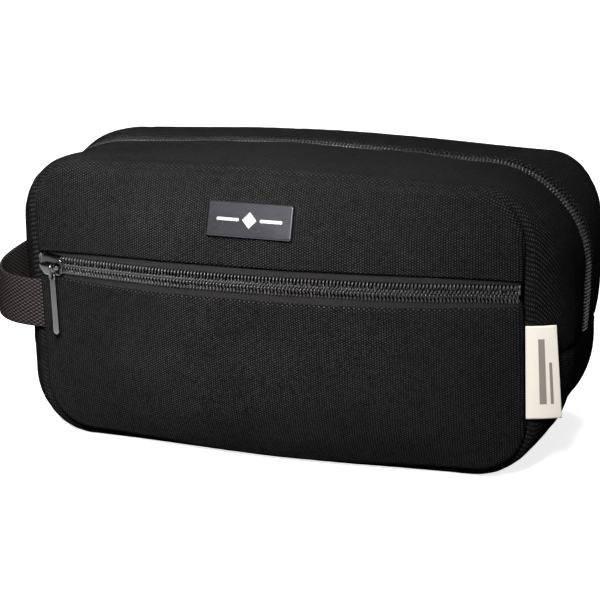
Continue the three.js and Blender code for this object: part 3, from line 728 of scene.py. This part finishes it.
def gusset_rows(inner, sign):
    """Depths and heights of the rows across a gusset, from its folded edge (or middle) to its seam."""
    rows = []
    if inner > 0:
        rows.append((inner + FOLD + FOLD_RETURN, -2 * FOLD))
        for turn in np.linspace(np.pi, 0, 8):
            rows.append((inner + FOLD - FOLD * math.sin(turn), -FOLD * (1 - math.cos(turn))))
        start = inner + FOLD
    else:
        start = 0.0
    stop = HALF_DEPTH - 2.8
    for s in np.linspace(0, 1, 30)[1 if inner > 0 else 0:]:
        rows.append((mix(start, stop, 1 - (1 - s) ** 1.25), 0.0))
    for turn in np.linspace(0, 1.9, 10)[1:]:
        rows.append((stop + SEAM_ROLL * math.sin(turn), -SEAM_ROLL * (1 - math.cos(turn))))
    depth = np.array([r[0] for r in rows]) * sign
    height = np.array([r[1] for r in rows])
    return depth, height


def gusset_piece(name, nodes, first, last, rows):
    depth, extra = rows
    k = path_stations(first, last, 1.6)[:, None]
    limited = np.clip(depth, -HALF_DEPTH + 0.4, HALF_DEPTH - 0.4)[None]
    y, kk = np.broadcast_arrays(limited, k)
    height = gusset_relief(y, kk, first, last) + extra[None]
    points = moved(gusset, y, kk, height)
    points[..., 1] += (depth[None] - limited)
    centre = np.abs(k[:, 0] - (first + last) / 2).argmin()
    steps = np.linalg.norm(np.diff(points, axis=0), axis=2)
    run = np.concatenate([np.zeros((1, steps.shape[1])), np.cumsum(steps, 0)])
    run = run - run[[centre]]
    across = np.concatenate([[0], np.cumsum(np.hypot(np.diff(depth), np.diff(extra)))])
    v = np.broadcast_to(across[None] + depth[0], run.shape)
    piece = mesh_piece(name, points, grid_faces(*points.shape[:2]), CANVAS, uv=np.stack([-run, v], -1))
    thicken(piece, 0.7)
    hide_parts(*nodes)
    return piece


def build_gussets():
    depth, height = gusset_rows(MAIN_SLOT, 1)
    back = gusset_piece("top_canvas_back", ["zip_gusset_back"], 0.0, 5.0, (depth, height))
    depth, height = gusset_rows(MAIN_SLOT, -1)
    front = gusset_piece("top_canvas_front", ["zip_gusset_front"], 0.0, 5.0, (depth[::-1], height[::-1]))
    right, right_height = gusset_rows(0, 1)
    left, left_height = gusset_rows(0, -1)
    depth = np.concatenate([left[::-1], right[1:]])
    height = np.concatenate([left_height[::-1], right_height[1:]])
    gusset_piece("bottom_canvas", ["bottom_gusset"], 5.0, 10.0, (depth, height))
    return {"front": front, "back": back}


# ---- Zips ----
def pocket_line(w, count=900):
    """Points and outward normals along the pocket zip, w above its centre line."""
    u = np.linspace(-0.997, 0.997, count)
    z = zip_height(u) + w
    base = front_panel(u, z)
    out = moved(front_panel, u, z, np.ones(count)) - base
    return rolled_panel(base, SEAM_FRONT, -1), out


def main_line(y, count=1600):
    k = np.linspace(0.006, 4.994, count)
    depth = np.full(count, float(y))
    base = gusset(depth, k)
    out = moved(gusset, depth, k, np.ones(count)) - base
    return base, out


def zip_frames(line):
    """Evenly spaced centre points of a zip with tangents, cross directions and normals."""
    base, out = line(0.0)
    run = along_path(base)
    step = COIL_PITCH / 14
    at = np.arange(0.3, run[-1] - 0.3, step)
    centre = resample(base, base, at)
    normal = unit(resample(base, out, at))
    tangent, across, normal = frames_along(centre, normal)
    return at, centre, tangent, across, normal


def coil_piece(name, node, line, side):
    """One row of a coil zip: straight legs on top, slanted ones below, joined by heads and bends."""
    at, centre, tangent, across, normal = zip_frames(line)
    turns = int((at[-1] - at[0]) / COIL_PITCH - 0.6)
    t = np.arange(turns * 16) / 16
    part = t - np.floor(t)
    slide = np.clip(2 * part - 1, 0, 1)
    place = at[0] + COIL_PITCH * (np.floor(t) + slide**2 * (3 - 2 * slide) + (0.5 if side > 0 else 0))
    pick = lambda values: np.stack([np.interp(place, at, values[:, i]) for i in range(3)], -1)
    c, s = np.cos(2 * np.pi * part), np.sin(2 * np.pi * part)
    half = COIL_HALF - (0 if side > 0 else 0.25)
    reach = COIL_CENTRE + (COIL_HALF - half) + half * np.sign(c) * np.abs(c) ** 0.75
    lift = -0.35 + 0.85 * np.sign(s) * np.abs(s) ** 0.75
    path = pick(centre) + pick(across) * (side * reach)[:, None] + pick(normal) * lift[:, None]
    thickness = 1 + 0.3 * np.clip(-c, 0, 1) ** 3
    points, faces = sweep(path, pick(across) * side, circle(COIL_WIRE, 7), scale=thickness)
    uv = np.stack([np.repeat(place, 7), np.repeat(reach, 7)], -1)
    piece = mesh_piece(name, points, faces, COIL, uv=uv)
    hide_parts(node)
    return piece


def tape_piece(name, node, line, side, across_zip):
    """One zip tape: flat under the canvas, thickened along the coil's edge."""
    widths = side * np.array([0.45, 0.9, 2.0, 3.6, 4.6, 5.2, 7.0, 9.5, 12.6])
    heights = np.array([-1.9, -1.5, -1.4, -1.3, -1.25, -1.25, -1.25, -1.4, -1.6])
    rows = [line(w, 300) for w in widths]
    points = np.stack([b + unit(o) * h for (b, o), h in zip(rows, heights)], 1)
    run = along_path(points[:, 0])[:, None]
    uv = np.stack(np.broadcast_arrays(run, widths[None]), -1)
    faces = grid_faces(*points.shape[:2])
    piece = mesh_piece(name, points, faces if (side > 0) == across_zip else faces[:, ::-1], TAPE, uv=uv)
    thicken(piece, 0.35)
    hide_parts(node)
    return piece


def settled(piece, path, normals):
    """Path points dropped onto a piece's outer face, with the cloth's own normals there."""
    corners = [v.co for v in piece.data.vertices]
    tree = BVHTree.FromPolygons(corners, [p.vertices for p in piece.data.polygons])
    points, outs = [], []
    for point, out in zip(slumped(path), normals):
        start = Vector((point + out * 6) * 0.001)
        hit, facing, _, _ = tree.ray_cast(start, Vector(-out), 0.012)
        if hit is None:
            points.append(point)
            outs.append(out)
            continue
        facing = np.array(facing)
        points.append(np.array(hit) * 1000)
        outs.append(facing if facing @ out > 0 else -facing)
    return np.array(points), np.array(outs)


def stitches(name, paths, material=THREAD, length=2.1, width=0.3, pitch=STITCH):
    """Rows of separate thread stitches lying on the cloth; each path is (points, normals)."""
    parts, uvs = [], []
    ring = circle(1.0, 6)
    for path, normals in paths:
        run = along_path(path)
        count = int(run[-1] / pitch)
        for n in range(count):
            at = (n + 0.5) * pitch + np.linspace(-0.5, 0.5, 7) * length
            line = resample(path, path, at)
            out = unit(resample(path, normals, at))
            dip = np.array([-0.3, 0.1, 0.22, 0.25, 0.22, 0.1, -0.3])
            size = width * np.array([0.35, 0.9, 1, 1, 1, 0.9, 0.35])
            points, faces = sweep(line + out * dip[:, None], out, ring, scale=size)
            parts.append((points, faces))
            uvs.append(np.stack([np.repeat(at, 6), np.zeros(42)], -1))
    points, faces = joined(parts)
    piece = mesh_piece(name, points, faces, material, uv=np.concatenate(uvs), settled_already=True)
    return piece


def build_zips(cloth):
    for part, side in (("upper", 1), ("lower", -1)):
        tape_piece(f"pocket_tape_{part}", f"pocket_zip_tape_{part}", pocket_line, side, True)
        coil_piece(f"pocket_coil_{part}", f"pocket_zip_coil_{part}", pocket_line, side)
    for part, side in (("front", -1), ("back", 1)):
        tape_piece(f"main_tape_{part}", f"main_zip_tape_{part}", main_line, side, False)
        coil_piece(f"main_coil_{part}", f"main_zip_coil_{part}", main_line, side)
    rows = []
    for side in (-1, 1):
        base, out = pocket_line(side * (ZIP_SLOT + 2.7), 700)
        rows.append(settled(cloth["upper" if side > 0 else "lower"], base[10:-10], unit(out[10:-10])))
    stitches("pocket_zip_stitching", rows)
    rows = []
    for side in (-1, 1):
        base, out = main_line(side * (MAIN_SLOT + 2.6), 900)
        rows.append(settled(cloth["back" if side > 0 else "front"], base[6:-6], unit(out[6:-6])))
    stitches("main_zip_stitching", rows)


# ---- Sliders and pulls, in a slider's own frame: x along the zip, y across it, z out of the bag ----
def slider_frames():
    u = FRONT_SLIDER_X / ZIP_HALF_WIDTH
    origin = front_panel(np.array([u]), np.array([zip_height(u)]))[0]
    out = moved(front_panel, np.array([u]), np.array([zip_height(u)]), np.ones(1))[0] - origin
    out[2] = 0
    out = unit(out)
    along = unit(np.cross([0, 0, 1.0], out))
    pocket = (origin, along, np.array([0, 0, 1.0]), out)
    o = outline_at(np.float64(0))
    corner = np.array([-o["half_width"], 0, o["top"] - o["top_radius"]])
    main = (corner, np.array([0, 0, 1.0]), np.array([0, 1.0, 0]), np.array([-1.0, 0, 0]))
    return pocket, main


def placed(points, at):
    origin, x, y, z = at
    points = np.asarray(points, float).reshape(-1, 3)
    return origin + points[:, 0:1] * x + points[:, 1:2] * y + points[:, 2:3] * z


def capped_faces(rows, cols):
    """Faces of a tube made of rows rings, with both its ends closed."""
    faces = grid_faces(rows, cols, wrap_columns=True).tolist()
    faces.append(list(range(cols)))
    faces.append([(rows - 1) * cols + j for j in range(cols)][::-1])
    return faces


def slab_loft(stations, sides=24, power=3.2):
    """A rounded body lofted along x from (x, half width, low, high) stations."""
    a = np.arange(sides) * 2 * np.pi / sides
    c = np.sign(np.cos(a)) * np.abs(np.cos(a)) ** (2 / power)
    s = np.sign(np.sin(a)) * np.abs(np.sin(a)) ** (2 / power)
    rings = []
    for x, half, low, high in stations:
        rings.append(stack(x, half * c, (low + high) / 2 + (high - low) / 2 * s))
    points = np.stack(rings)
    return points.reshape(-1, 3), capped_faces(len(stations), sides)


def slider_parts():
    top = [(-6.5, 2.6, 1.7, 2.3), (-6.35, 3.6, 1.55, 2.6), (-5.6, 4.7, 1.5, 2.8), (-4.2, 5.3, 1.5, 2.85),
           (-1.5, 5.3, 1.5, 2.95), (1.5, 5.0, 1.5, 2.95), (3.6, 4.5, 1.5, 2.85), (5.4, 3.8, 1.5, 2.8),
           (6.3, 2.9, 1.55, 2.6), (6.5, 2.2, 1.7, 2.3)]
    under = [(-5.0, 2.6, -4.6, -3.8), (-4.6, 4.0, -4.7, -3.6), (-3, 4.7, -4.7, -3.6),
             (3, 4.4, -4.7, -3.6), (4.6, 3.6, -4.7, -3.6), (5.0, 2.4, -4.6, -3.8)]
    parts = [slab_loft(top), slab_loft(under)]
    skirt = [(-5.0, 0.2, -0.6, 1.9), (-4.6, 0.35, -1.2, 2.0),
             (4.0, 0.35, -1.2, 2.0), (4.6, 0.2, -0.6, 1.9)]
    for side in (-1, 1):
        points, faces = slab_loft(skirt, 12)
        lean = np.interp(points[:, 0], [-4.6, 4.6], [4.95, 4.5])
        points[:, 1] += side * lean
        parts.append((points, faces))
    post = [(-2.0, 0.25, -3.8, 1.8), (2.0, 0.25, -3.8, 1.8)]
    parts.append(slab_loft(post, 10))
    reach = 5.5
    turns = np.linspace(np.pi, 0, 25)
    arch = np.stack([
        reach * np.sign(np.cos(turns)) * np.abs(np.cos(turns)) ** 0.55,
        np.zeros(25),
        2.4 + (BAR_CENTRE - 2.4) * np.abs(np.sin(turns)) ** 0.5,
    ], -1)
    arch = np.concatenate([[[-reach, 0, 1.9]], arch, [[reach, 0, 1.9]]])
    hint = np.tile([0, 1.0, 0], (len(arch), 1))
    width = rounded_profile(1.15, 2.0, 0.3, 3)
    points, faces = sweep(arch, hint, width)
    parts.append((points, faces))
    return parts


def link_parts(flat):
    """The wire link: a closed ring of round wire, its near end centred on the origin."""
    t = np.linspace(0, 2 * np.pi, 48, endpoint=False)
    centre = np.where(np.sin(t) > 0, 0, -LINK_REACH + LINK_RADIUS)
    ring = np.stack([LINK_RADIUS * np.cos(t), LINK_RADIUS * np.sin(t) + centre, np.zeros(48)], -1)
    ring[:, 1] = np.where(np.abs(np.sin(t)) < 1e-9, -0.0, ring[:, 1])
    if not flat:
        ring = ring[:, [2, 1, 0]]
    hint = np.tile([1.0, 0, 0] if not flat else [0, 0, 1.0], (48, 1))
    return sweep(ring, hint, circle(0.5, 10), closed=True)


def pull_parts(length):
    """The bar pull, in its own frame: an eye at the origin and a bar along -y that widens to its tip."""
    t = np.linspace(0, 2 * np.pi, 36, endpoint=False)
    ring = np.stack([1.5 * np.cos(t), 1.5 * np.sin(t), np.zeros(36)], -1)
    hint = np.tile([0, 0, 1.0], (36, 1))
    eye = sweep(ring, hint, rounded_profile(1.15, 1.6, 0.3, 3), closed=True)
    end = -length + 1.7
    rounding = end - 1.7 * np.sin(np.linspace(0.3, 1.5, 6))
    s = np.concatenate([[-1.0], np.linspace(-1.9, end, 12), rounding])
    half = np.interp(s, [-length, -length * 0.6, -1.9, -1.0], [1.7, 1.65, 1.6, 1.5])
    tip = np.clip((s + length - 1.7) / -1.7, 0, 1)
    half = half * np.sqrt(np.maximum(0.02, 1 - tip**2))
    profile = rounded_profile(2.0, 2.0, 0.55, 4)
    thick = 0.8 * (1 - 0.35 * tip**2)
    rings = [stack(half[i] * profile[:, 0], s[i], thick[i] * profile[:, 1]) for i in range(len(s))]
    points = np.stack(rings)
    return joined([eye, (points.reshape(-1, 3), capped_faces(len(s), len(profile)))])


def metal_piece(name, node, points, faces, body, material=GUNMETAL):
    piece = mesh_piece(name, points, faces, material, body=body)
    fix_normals(piece)
    smooth_by_angle(piece, 40)
    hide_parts(node)
    return piece


def fix_normals(piece):
    work = bmesh.new()
    work.from_mesh(piece.data)
    bmesh.ops.recalc_face_normals(work, faces=work.faces)
    work.to_mesh(piece.data)
    work.free()


def smooth_by_angle(piece, degrees):
    piece.data.set_sharp_from_angle(angle=math.radians(degrees))


def build_sliders():
    pocket, main = slider_frames()
    points, faces = joined(slider_parts())
    metal_piece("pocket_zip_slider", "pocket_slider", placed(points, pocket), faces, "pocket_slider")
    metal_piece("main_zip_slider", "main_slider", placed(points, main), faces, "main_slider")
    points, faces = link_parts(False)
    hung = placed(points + [PULL_SHIFT, 0, BAR_CENTRE], pocket)
    metal_piece("pocket_zip_link", "pocket_pull_link", hung, faces, "pocket_link")
    points, faces = pull_parts(PULL_LENGTH)
    hung = placed(points + [PULL_SHIFT, -LINK_REACH, BAR_CENTRE], pocket)
    metal_piece("pocket_zip_pull", "pocket_pull_bar", hung, faces, "pocket_pull")
    height = PLATE_TOP + 0.55 + 0.5
    points, faces = link_parts(True)
    turned = points[:, [1, 0, 2]] * [1, -1, 1] + [-4.2, 0, height]
    metal_piece("main_zip_link", "main_pull_link", placed(turned, main), faces, "main_link")
    points, faces = pull_parts(MAIN_PULL_LENGTH)
    turned = points[:, [1, 2, 0]] + [-4.2 - LINK_REACH, 0, height]
    metal_piece("main_zip_pull", "main_pull_bar", placed(turned, main), faces, "main_pull")


# ---- Grab loop, label and plate ----
def build_loop():
    root = -half_width_at(WEBBING_Z) - 0.6
    a = np.linspace(-np.pi / 2, np.pi / 2, 120)
    depth = PANEL_PLANE - 0.5
    out = np.maximum(0, np.cos(a)) ** LOOP_SQUARE
    sideways = depth * np.sign(a) * np.abs(np.sin(a)) ** LOOP_SQUARE
    path = stack(root - LOOP_REACH * out, sideways, WEBBING_Z)
    ends = [[root + 4.5, -depth + 1.6, WEBBING_Z], [root + 4.5, depth - 1.6, WEBBING_Z]]
    path = np.concatenate([ends[:1], path, ends[1:]])
    run = along_path(path)
    path = resample(path, path, np.linspace(0, run[-1], 130))
    for _ in range(3):
        path[1:-1] = (path[:-2] + 2 * path[1:-1] + path[2:]) / 4
    tangent = unit(np.gradient(path, axis=0))
    out = stack(-tangent[:, 1], tangent[:, 0], 0)
    profile = rounded_profile(WEBBING, WEBBING_THICKNESS, 0.7, 4)
    dense = []
    for i in range(len(profile)):
        nxt = profile[(i + 1) % len(profile)]
        gap = np.linalg.norm(nxt - profile[i])
        count = max(1, int(gap / 1.5))
        dense += [mix(profile[i], nxt, n / count) for n in range(count)]
    profile = np.array(dense)
    tangent, across, normal = frames_along(path, out)
    edge = np.abs(profile[:, 0]) / (WEBBING / 2)
    profile[:, 1] *= 1 - 0.18 * edge**6
    points = path[:, None] + across[:, None] * profile[None, :, 0:1]
    points = points + normal[:, None] * profile[None, :, 1:2]
    lean = np.clip((root - points[..., 0]) / LOOP_REACH, 0, 1)
    points[..., 0] += LOOP_LEAN * (points[..., 2] - WEBBING_Z) * lean
    faces = capped_faces(*points.shape[:2])
    run = along_path(path)
    round_profile = np.concatenate([[0], np.cumsum(np.linalg.norm(np.diff(profile, axis=0), axis=1))])
    uv = np.stack(np.broadcast_arrays(run[:, None], round_profile[None]), -1)
    piece = mesh_piece("webbing_loop", points, faces, WEBBING_CLOTH, uv=uv)
    fix_normals(piece)
    smooth_by_angle(piece, 60)
    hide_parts("grab_loop")


def label_point(s, height):
    root = np.array([half_width_at(LABEL_BOTTOM) + 0.7, -HALF_DEPTH - 1.2])
    along = np.array([math.cos(LABEL_ANGLE), math.sin(LABEL_ANGLE)])
    across = np.array([math.sin(LABEL_ANGLE), -math.cos(LABEL_ANGLE)])
    wave = 0.5 * np.sin(s / LABEL_REACH * np.pi) + height
    return root + s[..., None] * along + wave[..., None] * across


def label_surface(s, z, height):
    """A point of the label: s out from its seam, z up it, height off its middle layer."""
    s = s * mix(0.94, 0.8, (z - LABEL_BOTTOM) / (LABEL_TOP - LABEL_BOTTOM))
    lift = 0.35 * np.sin((z - LABEL_BOTTOM) / 13.0) * (s / LABEL_REACH) ** 2
    xy = label_point(s, height + lift)
    return stack(xy[..., 0], xy[..., 1], z)


def build_label():
    s = np.linspace(-0.9, LABEL_REACH, 26)
    half = 0.42
    fold = np.linspace(0, np.pi, 7)[1:-1]
    outline = [(v, half) for v in s]
    outline += [(LABEL_REACH + half * math.sin(t), half * math.cos(t)) for t in fold]
    outline += [(v, -half) for v in s[::-1]]
    outline = np.array(outline)
    z = np.linspace(LABEL_BOTTOM + 0.2, LABEL_TOP - 0.2, 60)
    ss, zz = np.broadcast_arrays(outline[None, :, 0], z[:, None])
    points = label_surface(ss, zz, np.broadcast_to(outline[None, :, 1], ss.shape))
    run = along_path(np.concatenate([outline, np.zeros((len(outline), 1))], 1))
    uv = np.stack(np.broadcast_arrays(run[None], z[:, None]), -1)
    cols = len(outline)
    faces = grid_faces(len(z), cols).tolist()
    piece = mesh_piece("woven_label", points, faces, LABEL_CLOTH, body="label", uv=uv)
    fix_normals(piece)
    thicken(piece, 0.3)
    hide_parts("side_label")
    bars = [(6.0, 9.6, 41.5, 73.5), (11.6, 13.2, 41.5, 62.0)]
    parts, uvs = [], []
    for s0, s1, z0, z1 in bars:
        ss, zz = np.meshgrid(np.linspace(s0, s1, 8), np.linspace(z0, z1, 40), indexing="ij")
        p = label_surface(ss, zz, np.full(ss.shape, half + 0.05))
        parts.append((p, grid_faces(8, 40)))
        uvs.append(np.stack([ss, zz], -1).reshape(-1, 2))
    points, faces = joined(parts)
    ink = mesh_piece("label_print", points, faces, LABEL_INK, body="label", uv=np.concatenate(uvs))


def at_height(outline, height):
    return np.concatenate([outline, np.full((len(outline), 1), height)], 1)


def plate_frame():
    u = PLATE_X / half_width_at(PLATE_Z)
    uu, zz = np.array([u]), np.array([PLATE_Z])
    origin = front_panel(uu, zz)[0]
    out = unit(moved(front_panel, uu, zz, np.ones(1))[0] - origin)
    across = unit(np.cross([0, 0, 1.0], out))
    return origin, across, np.cross(out, across), out


def build_plate():
    at = plate_frame()
    steps = [(0.0, 0.3), (0.0, 0.3), (0.0, 2.1), (0.18, 2.5), (0.5, 2.78), (0.9, PLATE_TOP)]
    rings = []
    for inset, height in steps:
        width, tall = PLATE_WIDTH - 2 * inset, PLATE_HEIGHT - 2 * inset
        outline = rounded_profile(width, tall, max(0.5, 1.2 - inset), 6)
        rings.append(at_height(outline, height))
    points = np.stack(rings)
    sides = points.shape[1]
    faces = grid_faces(len(rings), sides, wrap_columns=True).tolist()
    faces.append(list(range(sides)))
    faces.append([(len(rings) - 1) * sides + j for j in range(sides)])
    metal_piece("front_plate", "metal_plate", placed(points, at), faces, "bag", PLATE_METAL)
    parts = []
    top = 2.86
    for x0, x1, y0, y1 in ((-16.5, -5.2, -0.75, 0.75), (5.2, 16.5, -0.75, 0.75)):
        outline = rounded_profile(x1 - x0, y1 - y0, 0.7, 4) + [(x0 + x1) / 2, (y0 + y1) / 2]
        parts.append(motif_part(outline, top))
    outline = np.array([[3.6, 0], [0, 3.9], [-3.6, 0], [0, -3.9]])
    parts.append(motif_part(outline, top))
    points, faces = joined(parts)
    piece = mesh_piece("plate_motif", placed(points, at), faces, MOTIF, shaded=False)
    fix_normals(piece)


def motif_part(outline, top):
    points = np.stack([at_height(outline, 2.7), at_height(outline, top)])
    faces = grid_faces(2, len(outline), wrap_columns=True).tolist()
    faces.append([len(outline) + j for j in range(len(outline))])
    return points.reshape(-1, 3), faces


# ---- Inside pieces ----
def build_lining():
    reach = 1 - BACKING_INSET / SEAM_HALF_WIDTH
    u = (columns(90) * reach)[:, None]
    low = seam_height(u / reach, SEAM_FRONT, -1) + BACKING_INSET
    high = zip_height(u) + TAPE_HALF_WIDTH
    rows = (1 - np.cos(np.linspace(0, np.pi, 60)))[None] / 2
    z = mix(low, high, rows)
    s = np.clip((z - low) / (high - low), 0, 1)
    back = BACKING_SET_BACK + POCKET_DEPTH * (1 - u**6) * np.sin(np.pi * s) ** 0.6
    points = front_panel(u, z)
    points[..., 1] += back + 0.3
    faces = grid_faces(*points.shape[:2])[:, ::-1]
    piece = mesh_piece("pocket_lining", points, faces, LINING, uv=points[..., [0, 2]])
    thicken(piece, 0.5)
    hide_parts("pocket_backing")
    k = path_stations(0, 10, 3.0)[:-1]
    for name, sign in (("front", -1), ("back", 1)):
        path = moved(gusset, np.full(k.shape, sign * 39.0), k, np.full(k.shape, -2.9))
        outward = gusset(np.full(k.shape, sign * 39.0), k) - path
        points, faces = sweep(path, outward, rounded_profile(8, 1.0, 0.4, 3), closed=True)
        piece = mesh_piece(f"binding_{name}", points, faces, LINING, uv=points[:, [0, 2]])
        fix_normals(piece)
        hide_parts(f"seam_binding_{name}")
    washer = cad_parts["plate_washer"]
    washer.data.materials.clear()
    washer.data.materials.append(GUNMETAL)


canvas = {
    "lower": front_half("front_canvas_lower", "front_panel_lower", False),
    "upper": front_half("front_canvas_upper", "front_panel_upper", True),
}
back_piece()
canvas.update(build_gussets())
build_zips(canvas)
build_sliders()
build_loop()
build_label()
build_plate()
build_lining()


# ---- Floor, light and camera ----
def build_stage():
    n = Nodes("floor", (0.9, 0.9, 0.9), 0.8)
    n.colour(n.blend(n.noise(3, 2), (0.88, 0.88, 0.88), (0.92, 0.92, 0.92)))
    n.shader.inputs["Emission Color"].default_value = (1, 1, 1, 1)
    n.shader.inputs["Emission Strength"].default_value = FLOOR_GLOW
    mesh = bpy.data.meshes.new("floor")
    size = 12
    corners = [(-size, -size, 0), (size, -size, 0), (size, size, 0), (-size, size, 0)]
    mesh.from_pydata(corners, [], [(0, 1, 2, 3)])
    mesh.materials.append(n.material)
    floor = bpy.data.objects.new("floor", mesh)
    floor.visible_diffuse = False
    bpy.context.scene.collection.objects.link(floor)


def area_light(name, place, target, size, power, spread=math.pi):
    data = bpy.data.lights.new(name, "AREA")
    data.shape = "RECTANGLE"
    data.size, data.size_y = size
    data.energy = power
    data.spread = spread
    light = bpy.data.objects.new(name, data)
    light.location = place
    light.rotation_euler = (Vector(target) - Vector(place)).to_track_quat("-Z", "Y").to_euler()
    bpy.context.scene.collection.objects.link(light)


def build_lights():
    world = bpy.data.worlds.new("studio")
    bpy.context.scene.world = world
    world.use_nodes = True
    background = world.node_tree.nodes["Background"]
    background.inputs["Color"].default_value = (1, 1, 1, 1)
    background.inputs["Strength"].default_value = WORLD
    area_light("key", (0.1, -0.52, 0.5), (-0.1, -0.05, 0.07), (0.25, 0.25), KEY_POWER, KEY_SPREAD)
    area_light("top", (-0.05, 0.1, 0.85), (0, 0, 0.07), (0.5, 0.35), TOP_POWER)
    bpy.context.scene.view_settings.view_transform = "Standard"


def build_camera():
    azimuth, elevation, roll = math.radians(21.34), math.radians(18.94), math.radians(2.32)
    distance, focal = 1.1585, 2327.7
    level = math.cos(elevation)
    back = Vector((math.sin(azimuth) * level, -math.cos(azimuth) * level, math.sin(elevation)))
    right = Vector((math.cos(azimuth), math.sin(azimuth), 0))
    up = back.cross(right)
    x = right * math.cos(roll) - up * math.sin(roll)
    y = right * math.sin(roll) + up * math.cos(roll)
    place = Vector((-0.0057, 0, 0.06486)) + back * distance
    data = bpy.data.cameras.new("camera")
    data.sensor_width = 36
    data.lens = focal * 36 / 600
    camera = bpy.data.objects.new("camera", data)
    basis = Matrix((x, y, back)).transposed().to_4x4()
    camera.matrix_world = Matrix.Translation(place) @ basis
    bpy.context.scene.collection.objects.link(camera)
    bpy.context.scene.camera = camera


build_stage()
build_lights()
build_camera()
